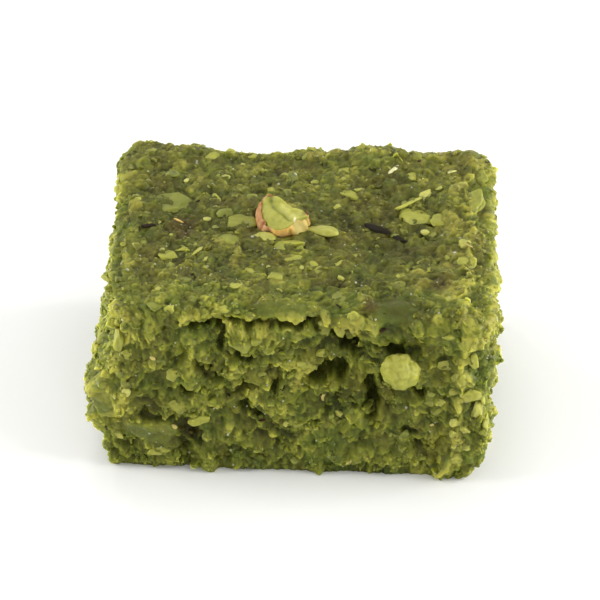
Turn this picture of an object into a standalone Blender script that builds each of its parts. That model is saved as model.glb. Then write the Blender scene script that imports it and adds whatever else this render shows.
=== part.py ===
"""One cut piece of pistachio burfi, with a chopped slice of pistachio kernel pressed into its top.

The paste block is a rounded box, drawn in a little towards its underside. Its grid is pushed in and out
along its own normals by broad swells, fused lumps of ground nut, an overhanging lip along the top of
the cut sides, cracks and hollows under that lip, and a dent under the kernel. The underside is flat,
as the tray left it. The kernel slice is a short slab with a flared wall, a straight cut along one side, a
pointed end and a crease across its face.

Metres, +Z up. The origin is the centre of the underside, and +X runs along the long side.
Run it with: blender --background --python part.py
"""

import bmesh
import bpy
import numpy as np
from mathutils import Euler, Vector

MM = 0.001

# Driving dimensions of the block, in metres.
LENGTH = 38.0 * MM
WIDTH = 30.0 * MM
HEIGHT = 19.0 * MM

# The block's own form, in millimetres, because its functions work in millimetres.
GRID_STEP = 1.05
EDGE_RADII = np.array((2.1, 2.1, 1.5))
FOOT_RADII = np.array((1.1, 1.1, 1.0))
FOOT_TAPER = 0.03
FOOT_TAPER_HEIGHT = 7.0
SWELL_SPACING, SWELL_PUSH = 10.0, 0.40
LUMP_SPACING, LUMP_PUSH = 3.4, 0.85
LIP_HEIGHT, LIP_SLOPE, LIP_BLEND, LIP_PUSH = 16.8, 0.07, 1.6, 0.45
TOP_FLATNESS = 0.45
FLAT_FOOT = 0.5
LEAN_LEFT, LEAN_LEFT_CORNER, LEAN_LEFT_FOOT = 1.2, 0.6, 0.5
LEAN_RIGHT, LEAN_RIGHT_FOOT = 1.2, 1.3

# Cracks: a route on the surface, the half width and the depth, in millimetres from the origin.
CRACKS = (
    (((-10.5, -15.0, 17.6), (-7.3, -15.0, 17.0), (-4.7, -15.0, 17.6), (1.9, -15.0, 17.5)), 0.95, 0.8),
    (((2.8, -15.0, 18.0), (4.8, -15.0, 16.2), (5.9, -15.0, 15.0), (12.5, -15.0, 15.3)), 1.0, 0.4),
    (((1.9, -15.0, 11.1), (4.9, -15.0, 12.2), (7.6, -15.0, 10.9), (7.8, -15.0, 7.0)), 1.15, 0.9),
    (((19.0, -7.9, 14.8), (19.0, -2.1, 14.0), (19.0, 3.7, 14.8), (19.0, 8.9, 13.6)), 1.2, 0.8),
    (((12.5, 15.0, 14.4), (7.0, 15.0, 15.1), (1.0, 15.0, 14.2), (-6.0, 15.0, 14.8)), 1.25, 0.9),
    (((-3.0, 15.0, 7.8), (-8.0, 15.0, 9.2), (-13.0, 15.0, 8.0)), 1.2, 0.8),
    (((-19.0, 7.9, 14.6), (-19.0, 2.6, 13.8), (-19.0, -3.7, 14.8)), 1.2, 0.8),
)

# Swellings and hollows: centre, radius and push outwards (negative inwards), in millimetres.
SWELLS = (
    ((-19.0, -12.6, 9.6), 4.5, 0.85),
    ((-18.0, -14.0, 15.6), 2.0, -0.5),
    ((-19.0, 10.5, 17.5), 4.0, 0.30),
    ((-19.0, 4.2, 8.8), 6.0, 0.5),
    ((19.0, -11.6, 13.6), 5.0, 0.45),
    ((19.0, -13.0, 3.0), 3.0, 0.4),
    ((19.0, 8.0, 17.0), 3.0, 0.2),
    ((13.8, -15.0, 1.4), 2.2, -0.7),
    ((0.0, -15.0, 1.0), 5.0, 0.4),
    ((19.0, 6.3, 8.3), 6.0, 0.5),
    ((5.2, -15.0, 13.0), 4.0, -0.4),
    ((10.2, -15.0, 8.6), 3.0, -0.6),
    ((9.9, -15.0, 13.0), 2.2, 0.5),
    ((-13.3, -15.0, 4.5), 4.0, 0.4),
    ((-6.0, 15.0, 11.2), 5.0, -0.6),
    ((9.0, 15.0, 5.8), 5.0, 0.5),
    ((-14.0, 12.5, 19.0), 3.0, 0.15),
    ((-7.0, 13.7, 19.0), 5.0, -0.5),
    ((7.5, 14.5, 18.0), 4.5, 0.75),
    ((16.8, 14.4, 18.0), 2.4, 0.7),
    ((14.2, 14.5, 18.5), 2.0, -0.35),
    ((-4.2, 0.6, 19.0), 0.9, -0.8),
    ((8.0, -3.2, 19.0), 7.0, -0.35),
)

# The kernel slice, in millimetres: the middle of its underside, how far it tips (degrees), and the outline
# of its face as (angle, reach): a round back, a long straight cut to the pointed end, and a nick at the
# front right.
KERNEL_AT = (-1.28, 0.62, 17.75)
KERNEL_TIP = (19.0, -13.0, 0.0)
KERNEL_THICKNESS = 1.8
KERNEL_SEGMENTS = 40
KERNEL_OUTLINE = (
    (15, 1.06), (59, 1.02), (89, 1.38), (106, 1.97), (119, 2.42), (137, 2.32), (171, 1.83), (209, 1.68),
    (246, 1.97), (277, 1.96), (306, 1.84), (317, 1.62), (330, 2.00), (344, 2.72), (352, 1.90),
)

# The rings of its wall from the foot to the face: height, inset and share of the flare.
KERNEL_RINGS = (
    (0.0, 0.30, 1.0), (0.25, 0.03, 1.0), (1.0, -0.05, 1.0),
    (1.4, -0.05, 0.5), (1.65, -0.03, 0.1), (1.8, 0.12, 0.0),
)
KERNEL_CREASE_TURN, KERNEL_CREASE_DEPTH, KERNEL_CREASE_WIDTH = 39.0, 0.15, 0.4
DENT_RADII = (3.1, 4.4)
CLEARANCE = 0.35

PASTE_COLOUR = (0.155, 0.160, 0.045, 1.0)
KERNEL_COLOUR = (0.52, 0.54, 0.19, 1.0)


# ---- Numbers that vary smoothly or lump by lump through space -------------------------------------

def cell_random(cells, salt):
    """A repeatable number from 0 to 1 for each whole-number cell."""
    cells = cells.astype(np.int64)
    mixed = cells[..., 0] * 73856093 ^ cells[..., 1] * 19349663 ^ cells[..., 2] * 83492791 ^ salt * 40503
    mixed = (mixed ^ (mixed >> 13)) * 1274126177 & 0x7FFFFFFF
    return ((mixed ^ (mixed >> 16)) & 0xFFFF) / 65535.0


def corner_offsets(low, high):
    """Every whole-number step from low to high along the three axes."""
    steps = np.arange(low, high + 1)
    return np.stack(np.meshgrid(steps, steps, steps, indexing="ij"), axis=-1).reshape(-1, 3)


def smooth_noise(points, spacing, salt):
    """From -1 to 1: random values on a lattice of that spacing, blended smoothly between its corners."""
    places = points / spacing
    base = np.floor(places)
    blend = places - base
    blend = blend * blend * (3.0 - 2.0 * blend)
    total = np.zeros(len(points))
    for offset in corner_offsets(0, 1):
        weight = np.where(offset, blend, 1.0 - blend).prod(axis=1)
        total += weight * cell_random(base + offset, salt)
    return 2.0 * total - 1.0


def lumps(points, spacing, salt):
    """From 0 in the seams between lumps to 1 on their crowns: one lump's centre lies in each cell."""
    places = points / spacing
    base = np.floor(places)
    nearest = np.full(len(points), 9.0)
    for offset in corner_offsets(-1, 1):
        cell = base + offset
        centre = cell + np.stack([cell_random(cell, salt + axis) for axis in range(3)], axis=1)
        nearest = np.minimum(nearest, np.linalg.norm(places - centre, axis=1))
    return np.clip(1.0 - nearest, 0.0, 1.0)


def smooth_step(value, low, high):
    """0 below low, 1 above high, and a smooth rise between."""
    share = np.clip((value - low) / (high - low), 0.0, 1.0)
    return share * share * (3.0 - 2.0 * share)


def distance_to_route(points, route):
    """Each point's distance to the nearest place on a route of straight stretches."""
    route = np.array(route)
    found = np.full(len(points), np.inf)
    for start, end in zip(route[:-1], route[1:]):
        stretch = end - start
        share = np.clip((points - start) @ stretch / (stretch @ stretch), 0.0, 1.0)
        found = np.minimum(found, np.linalg.norm(points - start - share[:, None] * stretch, axis=1))
    return found


# ---- The paste block ------------------------------------------------------------------------------

def box_grid(bm, size):
    """A cube primitive standing on the origin, stretched to size and cut into cells of about GRID_STEP."""
    bmesh.ops.create_cube(bm, size=1.0)
    bmesh.ops.scale(bm, vec=Vector(size), verts=bm.verts)
    bmesh.ops.translate(bm, vec=(0.0, 0.0, size[2] / 2), verts=bm.verts)
    for axis, side in enumerate(size):
        along = [e for e in bm.edges if abs(e.verts[0].co[axis] - e.verts[1].co[axis]) > side / 2]
        bmesh.ops.subdivide_edges(bm, edges=along, cuts=round(side / GRID_STEP) - 1, use_grid_fill=True)


def rounded_box(points, size):
    """The box surface with its edges rounded: the point, less its overhang past the inner core, plus an
    elliptical corner, of FOOT_RADII below and EDGE_RADII above. Returns points and outward normals."""
    half = np.array(size) / 2
    centred = points - (0.0, 0.0, half[2])
    share = smooth_step(points[:, 2:], 2.0, size[2] - 4.0)
    radii = FOOT_RADII + (EDGE_RADII - FOOT_RADII) * share
    inner = np.clip(centred, radii - half, half - radii)
    normals = (centred - inner) / radii
    normals /= np.linalg.norm(normals, axis=1, keepdims=True)
    return inner + radii * normals + (0.0, 0.0, half[2]), normals


def push_out(points, normals, size):
    """How far each point moves along its normal, in millimetres: swells + lumps + lip - cracks."""
    height = points[:, 2]
    on_top = smooth_step(normals[:, 2], 0.3, 0.9)
    push = SWELL_PUSH * smooth_noise(points, SWELL_SPACING, salt=11)
    push += LUMP_PUSH * (1.0 - TOP_FLATNESS * on_top) * (lumps(points, LUMP_SPACING, salt=23) - 0.5)
    lip_line = LIP_HEIGHT - LIP_SLOPE * points[:, 0] + 0.8 * smooth_noise(points, 7.0, salt=5)
    above_lip = (height - lip_line) / LIP_BLEND
    push += (1.0 - on_top) * LIP_PUSH * smooth_step(above_lip, -0.5, 0.5)
    for centre, radius, amount in SWELLS:
        far = np.linalg.norm(points - centre, axis=1) / radius
        push += amount * np.exp(-far * far)
    for route, half_width, depth in CRACKS:
        far = distance_to_route(points, route) / half_width
        push -= depth * np.exp(-far * far)
    return push


def drawn_in(points):
    """The points with the upper left side, most at the front, both sides' feet and the back of the right
    side drawn in, because those cuts weren't square."""
    x, y, z = points.T
    left = (LEAN_LEFT + LEAN_LEFT_CORNER * smooth_step(-y, 6.0, 13.0)) * smooth_step(z, 8.0, 16.0)
    left = (left + LEAN_LEFT_FOOT * (1.0 - smooth_step(z, 1.0, 6.0))) * smooth_step(-x, 0.0, 19.0)
    right = LEAN_RIGHT * smooth_step(y, -8.0, 14.0) + LEAN_RIGHT_FOOT * (1.0 - smooth_step(z, 0.0, 2.4))
    return points + np.stack([left - right * smooth_step(x, 0.0, 19.0), 0.0 * y, 0.0 * z], axis=1)


def dented(points, size):
    """The points near the top under the kernel slice, sunk to a floor parallel to the slice's underside
    and CLEARANCE below it where they stand above that, with a smooth rim between the two DENT_RADII."""
    from_middle = points - KERNEL_AT
    tilt_x, tilt_y = np.tan(np.radians(KERNEL_TIP[:2]))
    floor = KERNEL_AT[2] - CLEARANCE + tilt_x * from_middle[:, 1] - tilt_y * from_middle[:, 0]
    weight = 1.0 - smooth_step(np.linalg.norm(from_middle[:, :2], axis=1), *DENT_RADII)
    weight *= smooth_step(points[:, 2], size[2] - 4.0, size[2] - 2.5)
    sunk = points.copy()
    sunk[:, 2] += weight * np.minimum(floor - points[:, 2], 0.0)
    return sunk


def fitted(points, size):
    """The points stretched so that their box is exactly size, centred on the origin and standing on it."""
    low, high = points.min(axis=0), points.max(axis=0)
    middle = (low + high) / 2 - (0.0, 0.0, (high[2] - low[2]) / 2)
    return (points - middle) * (np.array(size) / (high - low))


def paste_form(points, size):
    """The block's surface from the plain box surface: rounded, tapered to its foot, pushed in and out
    along its normals, drawn in where its cuts lean, cut flat below, fitted to its size and dented under
    the kernel slice."""
    on_base = points[:, 2] < 1e-6
    points, normals = rounded_box(points, size)
    push = push_out(points, normals, size)
    push *= smooth_step(points[:, 2], 0.0, FLAT_FOOT)
    taper = 1.0 - FOOT_TAPER * (1.0 - smooth_step(points[:, 2], 0.0, FOOT_TAPER_HEIGHT))
    moved = points * np.stack([taper, taper, np.ones(len(points))], axis=1)
    moved = drawn_in(moved + normals * push[:, None])
    moved[on_base, 2] = 0.0
    moved[:, 2] = np.maximum(moved[:, 2], 0.0)
    return dented(fitted(moved, size), size)


def paste_block():
    """The burfi's paste as one solid mesh, in metres."""
    size = tuple(side / MM for side in (LENGTH, WIDTH, HEIGHT))
    bm = bmesh.new()
    box_grid(bm, size)
    points = np.array([v.co for v in bm.verts])
    for vertex, place in zip(bm.verts, paste_form(points, size)):
        vertex.co = Vector(place) * MM
    bmesh.ops.recalc_face_normals(bm, faces=bm.faces)
    mesh = bpy.data.meshes.new("burfi_block")
    bm.to_mesh(mesh)
    bm.free()
    return mesh


# ---- The kernel slice -----------------------------------------------------------------------------

def kernel_outline(angles):
    """The reach of the slice's face at each angle: straight stretches between the outline's corners, which
    are softened by taking the mean over 12 degrees."""
    corners, reach = np.array(KERNEL_OUTLINE).T
    degrees = np.degrees(angles)
    turns = (-6.0, -2.0, 2.0, 6.0)
    return sum(np.interp(degrees + turn, corners, reach, period=360.0) for turn in turns) / len(turns)


def kernel_flare(angles):
    """How far the slice's wall stands out below its face's edge: well out at the left, where the kernel's
    round back shows, and at the front right, and a little in elsewhere."""
    left = smooth_step(np.cos(angles - np.radians(178.0)), 0.45, 0.95)
    front_right = smooth_step(np.cos(angles - np.radians(311.0)), 0.90, 0.985)
    return 0.46 * left + 0.56 * front_right - 0.12 * (1.0 - left) * (1.0 - front_right)


def kernel_slice():
    """The slice on its own origin: a cylinder primitive cut into rings, whose points then move out to the
    outline, with a crease across its face."""
    bm = bmesh.new()
    bmesh.ops.create_cone(
        bm, cap_ends=True, segments=KERNEL_SEGMENTS, radius1=1.0, radius2=1.0, depth=KERNEL_THICKNESS)
    bmesh.ops.translate(bm, vec=Vector((0.0, 0.0, KERNEL_THICKNESS / 2.0)), verts=bm.verts)
    for height, _, _ in KERNEL_RINGS[1:-1]:
        bmesh.ops.bisect_plane(
            bm, geom=[*bm.verts, *bm.edges, *bm.faces], dist=0.001,
            plane_co=Vector((0.0, 0.0, height)), plane_no=Vector((0.0, 0.0, 1.0)))
    shape_wall(bm)
    crease(bm)
    bmesh.ops.triangulate(bm, faces=bm.faces[:])
    bmesh.ops.recalc_face_normals(bm, faces=bm.faces[:])
    bmesh.ops.scale(bm, vec=Vector((MM, MM, MM)), verts=bm.verts)
    mesh = bpy.data.meshes.new("pistachio_slice")
    bm.to_mesh(mesh)
    bm.free()
    return mesh


def shape_wall(bm):
    """Moves each ring of the wall out to the slice's outline at its height."""
    heights, insets, shares = np.array(KERNEL_RINGS).T
    for vertex in bm.verts:
        angle = np.array([np.arctan2(vertex.co.y, vertex.co.x)])
        inset = np.interp(vertex.co.z, heights, insets)
        share = np.interp(vertex.co.z, heights, shares)
        reach = float((kernel_outline(angle) + share * kernel_flare(angle) - inset)[0])
        vertex.co.x = reach * np.cos(angle[0])
        vertex.co.y = reach * np.sin(angle[0])


def crease(bm):
    """Folds the upper face down along the line where the kernel's two halves meet."""
    across = Euler((0.0, 0.0, np.radians(KERNEL_CREASE_TURN))).to_matrix() @ Vector((1.0, 0.0, 0.0))
    for offset in (-KERNEL_CREASE_WIDTH, 0.0, KERNEL_CREASE_WIDTH):
        bmesh.ops.bisect_plane(
            bm, geom=[*bm.verts, *bm.edges, *bm.faces], dist=0.01, plane_co=across * offset, plane_no=across)
    for vertex in bm.verts:
        if vertex.co.z > KERNEL_THICKNESS - 0.01 and abs(vertex.co.dot(across)) < 0.02:
            vertex.co.z -= KERNEL_CREASE_DEPTH


# ---- Objects --------------------------------------------------------------------------------------

def finish(name, colour, roughness):
    """A plain dielectric material of that colour."""
    material = bpy.data.materials.new(name)
    material.use_nodes = True
    shader = material.node_tree.nodes["Principled BSDF"]
    shader.inputs["Base Color"].default_value = colour
    shader.inputs["Roughness"].default_value = roughness
    shader.inputs["Metallic"].default_value = 0.0
    return material


def place(mesh, material, collection):
    """One named object for one sub-part."""
    mesh.materials.append(material)
    mesh.shade_smooth()
    made = bpy.data.objects.new(mesh.name, mesh)
    collection.objects.link(made)
    return made


def main():
    for old in list(bpy.data.objects):
        bpy.data.objects.remove(old)
    collection = bpy.data.collections.new("pistachio_burfi")
    bpy.context.scene.collection.children.link(collection)
    place(paste_block(), finish("pistachio_paste", PASTE_COLOUR, 0.55), collection)
    kernel = place(kernel_slice(), finish("pistachio_kernel", KERNEL_COLOUR, 0.4), collection)
    kernel.location = Vector(KERNEL_AT) * MM
    kernel.rotation_euler = np.radians(KERNEL_TIP)
    kernel.data.set_sharp_from_angle(angle=np.radians(50.0))


main()
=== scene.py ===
"""Pistachio burfi: one hand-cut piece of a dense sweet of ground pistachio, sugar and ghee.

The top is pressed flat and shows chopped nut in the paste. The four sides were cut and broke into
fused crumbs, with a smooth lip over a ragged crack on the front. A chopped slice of kernel, with its
papery skin on, is pressed into the top.

Laid out as an add-on: one operator makes each group of pieces, and one makes the stage. Lengths inside
the shape functions are millimetres; meshes are in metres, +Z up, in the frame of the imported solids.
"""

import bpy
import numpy as np
from bpy.props import FloatProperty, FloatVectorProperty, IntProperty, PointerProperty
from mathutils import Euler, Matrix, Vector


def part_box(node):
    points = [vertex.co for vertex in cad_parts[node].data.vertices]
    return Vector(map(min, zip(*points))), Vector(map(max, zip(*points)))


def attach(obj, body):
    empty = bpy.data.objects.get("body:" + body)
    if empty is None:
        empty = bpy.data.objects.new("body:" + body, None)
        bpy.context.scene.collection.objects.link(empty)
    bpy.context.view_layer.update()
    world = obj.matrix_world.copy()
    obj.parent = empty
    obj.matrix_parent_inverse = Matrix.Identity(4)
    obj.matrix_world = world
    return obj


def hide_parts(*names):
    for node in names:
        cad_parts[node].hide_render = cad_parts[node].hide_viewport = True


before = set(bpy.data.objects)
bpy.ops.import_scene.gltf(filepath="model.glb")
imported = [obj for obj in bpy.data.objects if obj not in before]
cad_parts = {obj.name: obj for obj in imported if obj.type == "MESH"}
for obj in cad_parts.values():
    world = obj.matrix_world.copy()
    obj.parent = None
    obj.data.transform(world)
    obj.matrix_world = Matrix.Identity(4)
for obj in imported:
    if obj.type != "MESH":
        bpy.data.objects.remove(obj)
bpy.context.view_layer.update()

bl_info = {
    "name": "Pistachio Burfi",
    "version": (1, 0, 0),
    "blender": (4, 5, 0),
    "location": "View3D > Sidebar > Burfi",
    "description": "Builds one piece of pistachio burfi and a plain studio round it",
    "category": "Object",
}

BLOCK_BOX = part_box("burfi_block")
MM = 0.001


def linear(code):
    """The linear colour of an sRGB hex value."""
    curved = np.array([int(code[start:start + 2], 16) for start in (1, 3, 5)]) / 255.0
    flat = np.where(curved <= 0.04045, curved / 12.92, ((curved + 0.055) / 1.055) ** 2.4)
    return tuple(float(channel) for channel in flat)


# ---- The block's own form, in millimetres ----------------------------------------------------------

BLOCK_SIZE = np.array([(high - low) / MM for low, high in zip(*BLOCK_BOX)])

# The planes of the five open faces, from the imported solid's size. A place on a face names its plane.
RIGHT, BACK, TOP = (round(float(side), 1) for side in BLOCK_SIZE / (2.0, 2.0, 1.0))
LEFT, FRONT = -RIGHT, -BACK

FACES = {"left": (0, LEFT), "right": (0, RIGHT), "front": (1, FRONT), "back": (1, BACK), "top": (2, TOP)}


def on_face(face, *places):
    """The places on one face as points: (y, z) on the left and right, (x, z) on the front and back and
    (x, y) on top, with the face's own plane put in."""
    axis, plane = FACES[face]
    return tuple((*place[:axis], plane, *place[axis:]) for place in places)


# The net of points: its step, the rings that carry it in under the foot, and how far it stays in from the
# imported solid's box, so that crumbs and chips don't stand out of that.
LATTICE_STEP, BASE_RINGS, SKIN_INSET = 0.2, 7, 0.25

# The rounding of the upper edges and of the foot, and the heights over the foot and under the top between
# which one changes to the other.
EDGE_RADII, FOOT_RADII = np.array((2.1, 2.1, 1.5)), np.array((1.1, 1.1, 1.0))
FOOT_RADII_UP_TO, EDGE_RADII_WITHIN = 2.0, 4.0

# How far the cuts run in: the taper's share and height, the height under which the form flattens out to the
# underside, and the lean of each side, each followed by the stretch over which it grows or fades.
FOOT_TAPER, FOOT_TAPER_HEIGHT, FLAT_FOOT = 0.03, 7.0, 0.5
LEAN_LEFT, LEAN_LEFT_HEIGHTS = 1.2, (8.0, 16.0)
LEAN_LEFT_CORNER, LEFT_CORNER_DEPTHS = 0.6, (6.0, 13.0)
LEAN_LEFT_FOOT, LEFT_FOOT_HEIGHTS = 0.5, (1.0, 6.0)
LEAN_RIGHT, LEAN_RIGHT_DEPTHS = 1.2, (-8.0, 14.0)
LEAN_RIGHT_FOOT, RIGHT_FOOT_HEIGHTS = 1.3, (0.0, 2.4)

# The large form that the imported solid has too: soft swells, lumps, and the lip that the pressed top ends in.
SWELL_SPACING, SWELL_PUSH = 10.0, 0.40
LUMP_SPACING, LUMP_PUSH, TOP_FLATNESS = 3.4, 0.85, 0.45
LIP_HEIGHT, LIP_SLOPE, LIP_BLEND, LIP_PUSH = 16.8, 0.07, 1.6, 0.45
LIP_WAVE, LIP_WAVE_SPACING = 0.8, 7.0

# Single swells and hollows: (middle, radius, push), and wide cracks: (route, half width, depth).
SWELLS = (
    ((LEFT, -12.6, 9.6), 4.5, 0.85),
    ((-18.0, -14.0, 15.6), 2.0, -0.5),
    ((LEFT, 10.5, 17.5), 4.0, 0.30),
    ((LEFT, 4.2, 8.8), 6.0, 0.5),
    ((RIGHT, -11.6, 13.6), 5.0, 0.45),
    ((RIGHT, -13.0, 3.0), 3.0, 0.4),
    ((RIGHT, 8.0, 17.0), 3.0, 0.2),
    ((13.8, FRONT, 1.4), 2.2, -0.7),
    ((0.0, FRONT, 1.0), 5.0, 0.4),
    ((RIGHT, 6.3, 8.3), 6.0, 0.5),
    ((5.2, FRONT, 13.0), 4.0, -0.4),
    ((10.2, FRONT, 8.6), 3.0, -0.6),
    ((9.9, FRONT, 13.0), 2.2, 0.5),
    ((-13.3, FRONT, 4.5), 4.0, 0.4),
    ((-6.0, BACK, 11.2), 5.0, -0.6),
    ((9.0, BACK, 5.8), 5.0, 0.5),
    ((-14.0, 12.5, TOP), 3.0, 0.15),
    ((-7.0, 13.7, TOP), 5.0, -0.5),
    ((7.5, 14.5, 18.0), 4.5, 0.75),
    ((16.8, 14.4, 18.0), 2.4, 0.7),
    ((14.2, 14.5, 18.5), 2.0, -0.35),
    ((-4.2, 0.6, TOP), 0.9, -0.8),
    ((8.0, -3.2, TOP), 7.0, -0.35),
)
WIDE_CRACKS = (
    (on_face("front", (-10.5, 17.6), (-7.3, 17.0), (-4.7, 17.6), (1.9, 17.5)), 0.95, 0.8),
    (on_face("front", (2.8, 18.0), (4.8, 16.2), (5.9, 15.0), (12.5, 15.3)), 1.0, 0.4),
    (on_face("front", (1.9, 11.1), (4.9, 12.2), (7.6, 10.9), (7.8, 7.0)), 1.15, 0.9),
    (on_face("right", (-7.9, 14.8), (-2.1, 14.0), (3.7, 14.8), (8.9, 13.6)), 1.2, 0.8),
    (on_face("back", (12.5, 14.4), (7.0, 15.1), (1.0, 14.2), (-6.0, 14.8)), 1.25, 0.9),
    (on_face("back", (-3.0, 7.8), (-8.0, 9.2), (-13.0, 8.0)), 1.2, 0.8),
    (on_face("left", (7.9, 14.6), (2.6, 13.8), (-3.7, 14.8)), 1.2, 0.8),
)

# The fine form that only the visual has: broken crumbs, as levels of (spacing, spread of heights, tilt,
# dome, seam depth, share of it that is left where the paste was pressed, share of the tint).
CRUMB_LEVELS = (
    (3.4, 0.66, 0.50, 0.10, 0.30, 0.20, 0.22),
    (1.6, 0.44, 0.34, 0.32, 0.25, 0.52, 0.40),
    (0.80, 0.20, 0.22, 0.22, 0.14, 0.66, 0.36),
)

# How ragged the crumbs' seams run: (shift, spacing), both as shares of the crumb's spacing; how sharply one
# facet steps to the next, and a seam's half width, as a share of a crumb.
CRUMB_WARPS = ((0.30, 0.55), (0.12, 0.20))
FACET_SHARPNESS, SEAM_WIDTH = 11.0, 0.14

# How far crumbs droop for each millimetre that they stand out, how calm the pressed lip is, how far a smear
# flattens crumbs and cracks, and the small pits between crumbs, with the noise that starts and fills them.
DROOP, LIP_CALM = 0.26, 0.75
SMEAR_CALM, SMEAR_CLOSES = 0.8, 0.5
PIT_SPACING, PIT_DEPTH, PIT_RANGE = 0.9, 0.30, (0.35, 0.8)

# What counts as a crown or a seam: the relief of a point that stands neither out nor in, and its gain for
# each millimetre that the point stands out.
RELIEF_LEVEL, RELIEF_GAIN = 0.55, 0.62

# Narrow cracks: (route, half width, depth), along the routes where the crust broke.
NARROW_CRACKS = (
    (on_face("front", (-10.4, 16.6), (-9.0, 16.7), (-8.2, 17.1), (-7.5, 17.6), (-6.3, 17.8), (-5.0, 17.8),
        (-4.2, 17.5), (-3.8, 17.2), (-3.0, 17.6), (-2.2, 17.4), (-1.9, 16.8), (-1.3, 17.7), (-0.5, 17.1),
        (0.3, 17.0), (1.0, 17.3), (1.7, 17.8)), 0.30, 1.7),
    (on_face("front", (2.1, 18.5), (2.7, 17.5), (3.2, 16.8), (3.9, 16.2), (4.6, 15.6), (5.1, 15.0),
        (6.0, 14.4), (6.6, 14.5)), 0.40, 1.8),
    (on_face("front", (8.6, 15.3), (9.3, 15.2), (10.4, 14.9)), 0.38, 1.4),
    (on_face("front", (11.4, 15.0), (12.3, 14.9)), 0.30, 0.9),
    (on_face("front", (2.0, 11.2), (3.1, 11.5), (3.7, 12.6), (4.6, 12.7), (4.7, 11.5)), 0.50, 2.1),
    (on_face("top", (-4.3, 1.1), (-4.0, 2.4)), 0.40, 1.0),
    (on_face("front", (7.5, 11.2), (7.9, 9.2), (7.7, 7.0)), 0.34, 1.3),
    (on_face("front", (-1.6, 12.4), (-1.4, 10.0)), 0.42, 1.2),
    (on_face("front", (-7.5, 17.2), (-7.1, 15.9), (-7.3, 14.7)), 0.36, 1.3),
    (on_face("front", (-6.2, 13.9), (-5.1, 13.5), (-3.9, 13.4)), 0.32, 1.1),
    (on_face("front", (-9.4, 12.6), (-8.4, 12.0), (-7.5, 11.1)), 0.42, 1.1),
    (on_face("front", (-14.2, 6.6), (-12.6, 6.2), (-11.2, 6.5)), 0.40, 1.2),
    (on_face("front", (-10.3, 5.8), (-9.4, 3.9)), 0.70, 1.0),
    (on_face("front", (8.9, 11.1), (9.4, 10.8)), 0.36, 1.2),
    (on_face("front", (12.2, 10.6), (12.9, 9.8)), 0.40, 1.3),
    (on_face("front", (11.2, 5.6), (12.4, 5.4)), 0.36, 1.0),
    (on_face("front", (-10.6, 9.9), (-9.2, 9.5)), 0.34, 1.0),
    (on_face("front", (-4.6, 8.0), (-3.2, 6.6)), 0.34, 0.9),
    (on_face("front", (-6.0, 9.4), (-3.8, 10.0)), 0.34, 0.9),
    (on_face("right", (-8.4, 15.0), (-5.3, 14.2), (-2.1, 14.2), (1.1, 15.0), (4.2, 14.6),
        (8.9, 13.6)), 0.36, 1.4),
    (on_face("right", (-3.2, 8.8), (0.5, 7.8), (2.1, 6.0)), 0.42, 1.3),
    (on_face("back", (13.0, 14.2), (9.5, 15.2), (6.0, 14.9), (1.0, 14.1), (-3.0, 15.0),
        (-7.0, 14.6)), 0.40, 1.6),
    (on_face("back", (-2.5, 7.8), (-6.0, 9.1), (-9.0, 9.1), (-13.5, 7.8)), 0.45, 1.4),
    (on_face("back", (6.5, 9.7), (9.0, 8.8), (9.6, 6.2)), 0.42, 1.4),
    (on_face("left", (8.4, 14.6), (4.7, 14.0), (1.6, 13.8), (-4.2, 15.0)), 0.38, 1.5),
    (on_face("left", (7.4, 7.2), (4.2, 8.0), (1.1, 7.0)), 0.42, 1.3),
)

# How a crack's and a fringe's route wanders: (shift, spacing, salt).
CRACK_RAGGEDNESS = 0.38
CRACK_WANDERS = ((CRACK_RAGGEDNESS, 1.1, 171), (0.6 * CRACK_RAGGEDNESS, 0.5, 175))
FRINGE_WANDERS = ((0.5, 0.9, 181), (0.3, 0.4, 185))

# Where the knife left a ragged fringe: a route, its half width, how far it stands out and how pale it is
# painted, a paleness that is painted light along the lit rims.
FRINGES = (
    (((17.3, 12.5, TOP), (17.0, 2.0, TOP), (16.7, -8.0, TOP), (16.6, -13.4, 18.8), (16.6, -14.8, 17.0),
      (16.5, FRONT, 12.0), (16.3, FRONT, 6.0), (16.0, FRONT, 1.0)), 0.34, 0.50, 0.68),
    (((18.0, -6.0, 18.4), (17.9, -13.0, 17.8), (17.9, -14.2, 12.0), (17.6, -14.3, 5.0)), 0.30, 0.35, 0.60),
    (((15.9, 12.0, TOP), (15.5, 0.0, TOP), (15.2, -11.0, TOP)), 1.5, 0.05, 0.30),
    (((-17.4, 12.0, TOP), (-17.2, 3.0, TOP), (-17.4, -9.0, TOP)), 0.70, 0.15, 0.25),
    (((-15.0, 13.4, TOP), (-4.0, 13.6, TOP), (6.0, 13.4, TOP), (16.0, 13.6, TOP)), 0.60, 0.15, 0.35),
    (((-17.6, -14.0, 16.0), (-18.3, -13.6, 9.0), (-17.4, -14.2, 4.0)), 1.60, 0.10, 0.42),
)

# Places where the knife or a finger smeared the crumbs smooth: (centre, radii), and how ragged their rims
# are.
SMEAR_RAGGEDNESS, SMEAR_SPACING = 0.25, 1.3
SMEARS = (
    ((-13.4, FRONT, 4.4), (3.4, 2.0, 1.5)),
    ((-17.8, FRONT, 8.0), (0.9, 2.0, 2.0)),
    ((10.2, -14.0, 18.9), (2.3, 1.8, 1.2)),
    ((-1.0, -14.8, 18.8), (4.5, 1.8, 0.7)),
    ((LEFT, -2.3, 2.9), (1.8, 4.0, 1.6)),
    ((RIGHT, 4.6, 3.2), (1.8, 4.4, 1.6)),
    ((3.2, BACK, 2.6), (4.6, 1.8, 1.6)),
    ((-9.0, BACK, 17.4), (4.0, 1.8, 1.1)),
)

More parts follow.
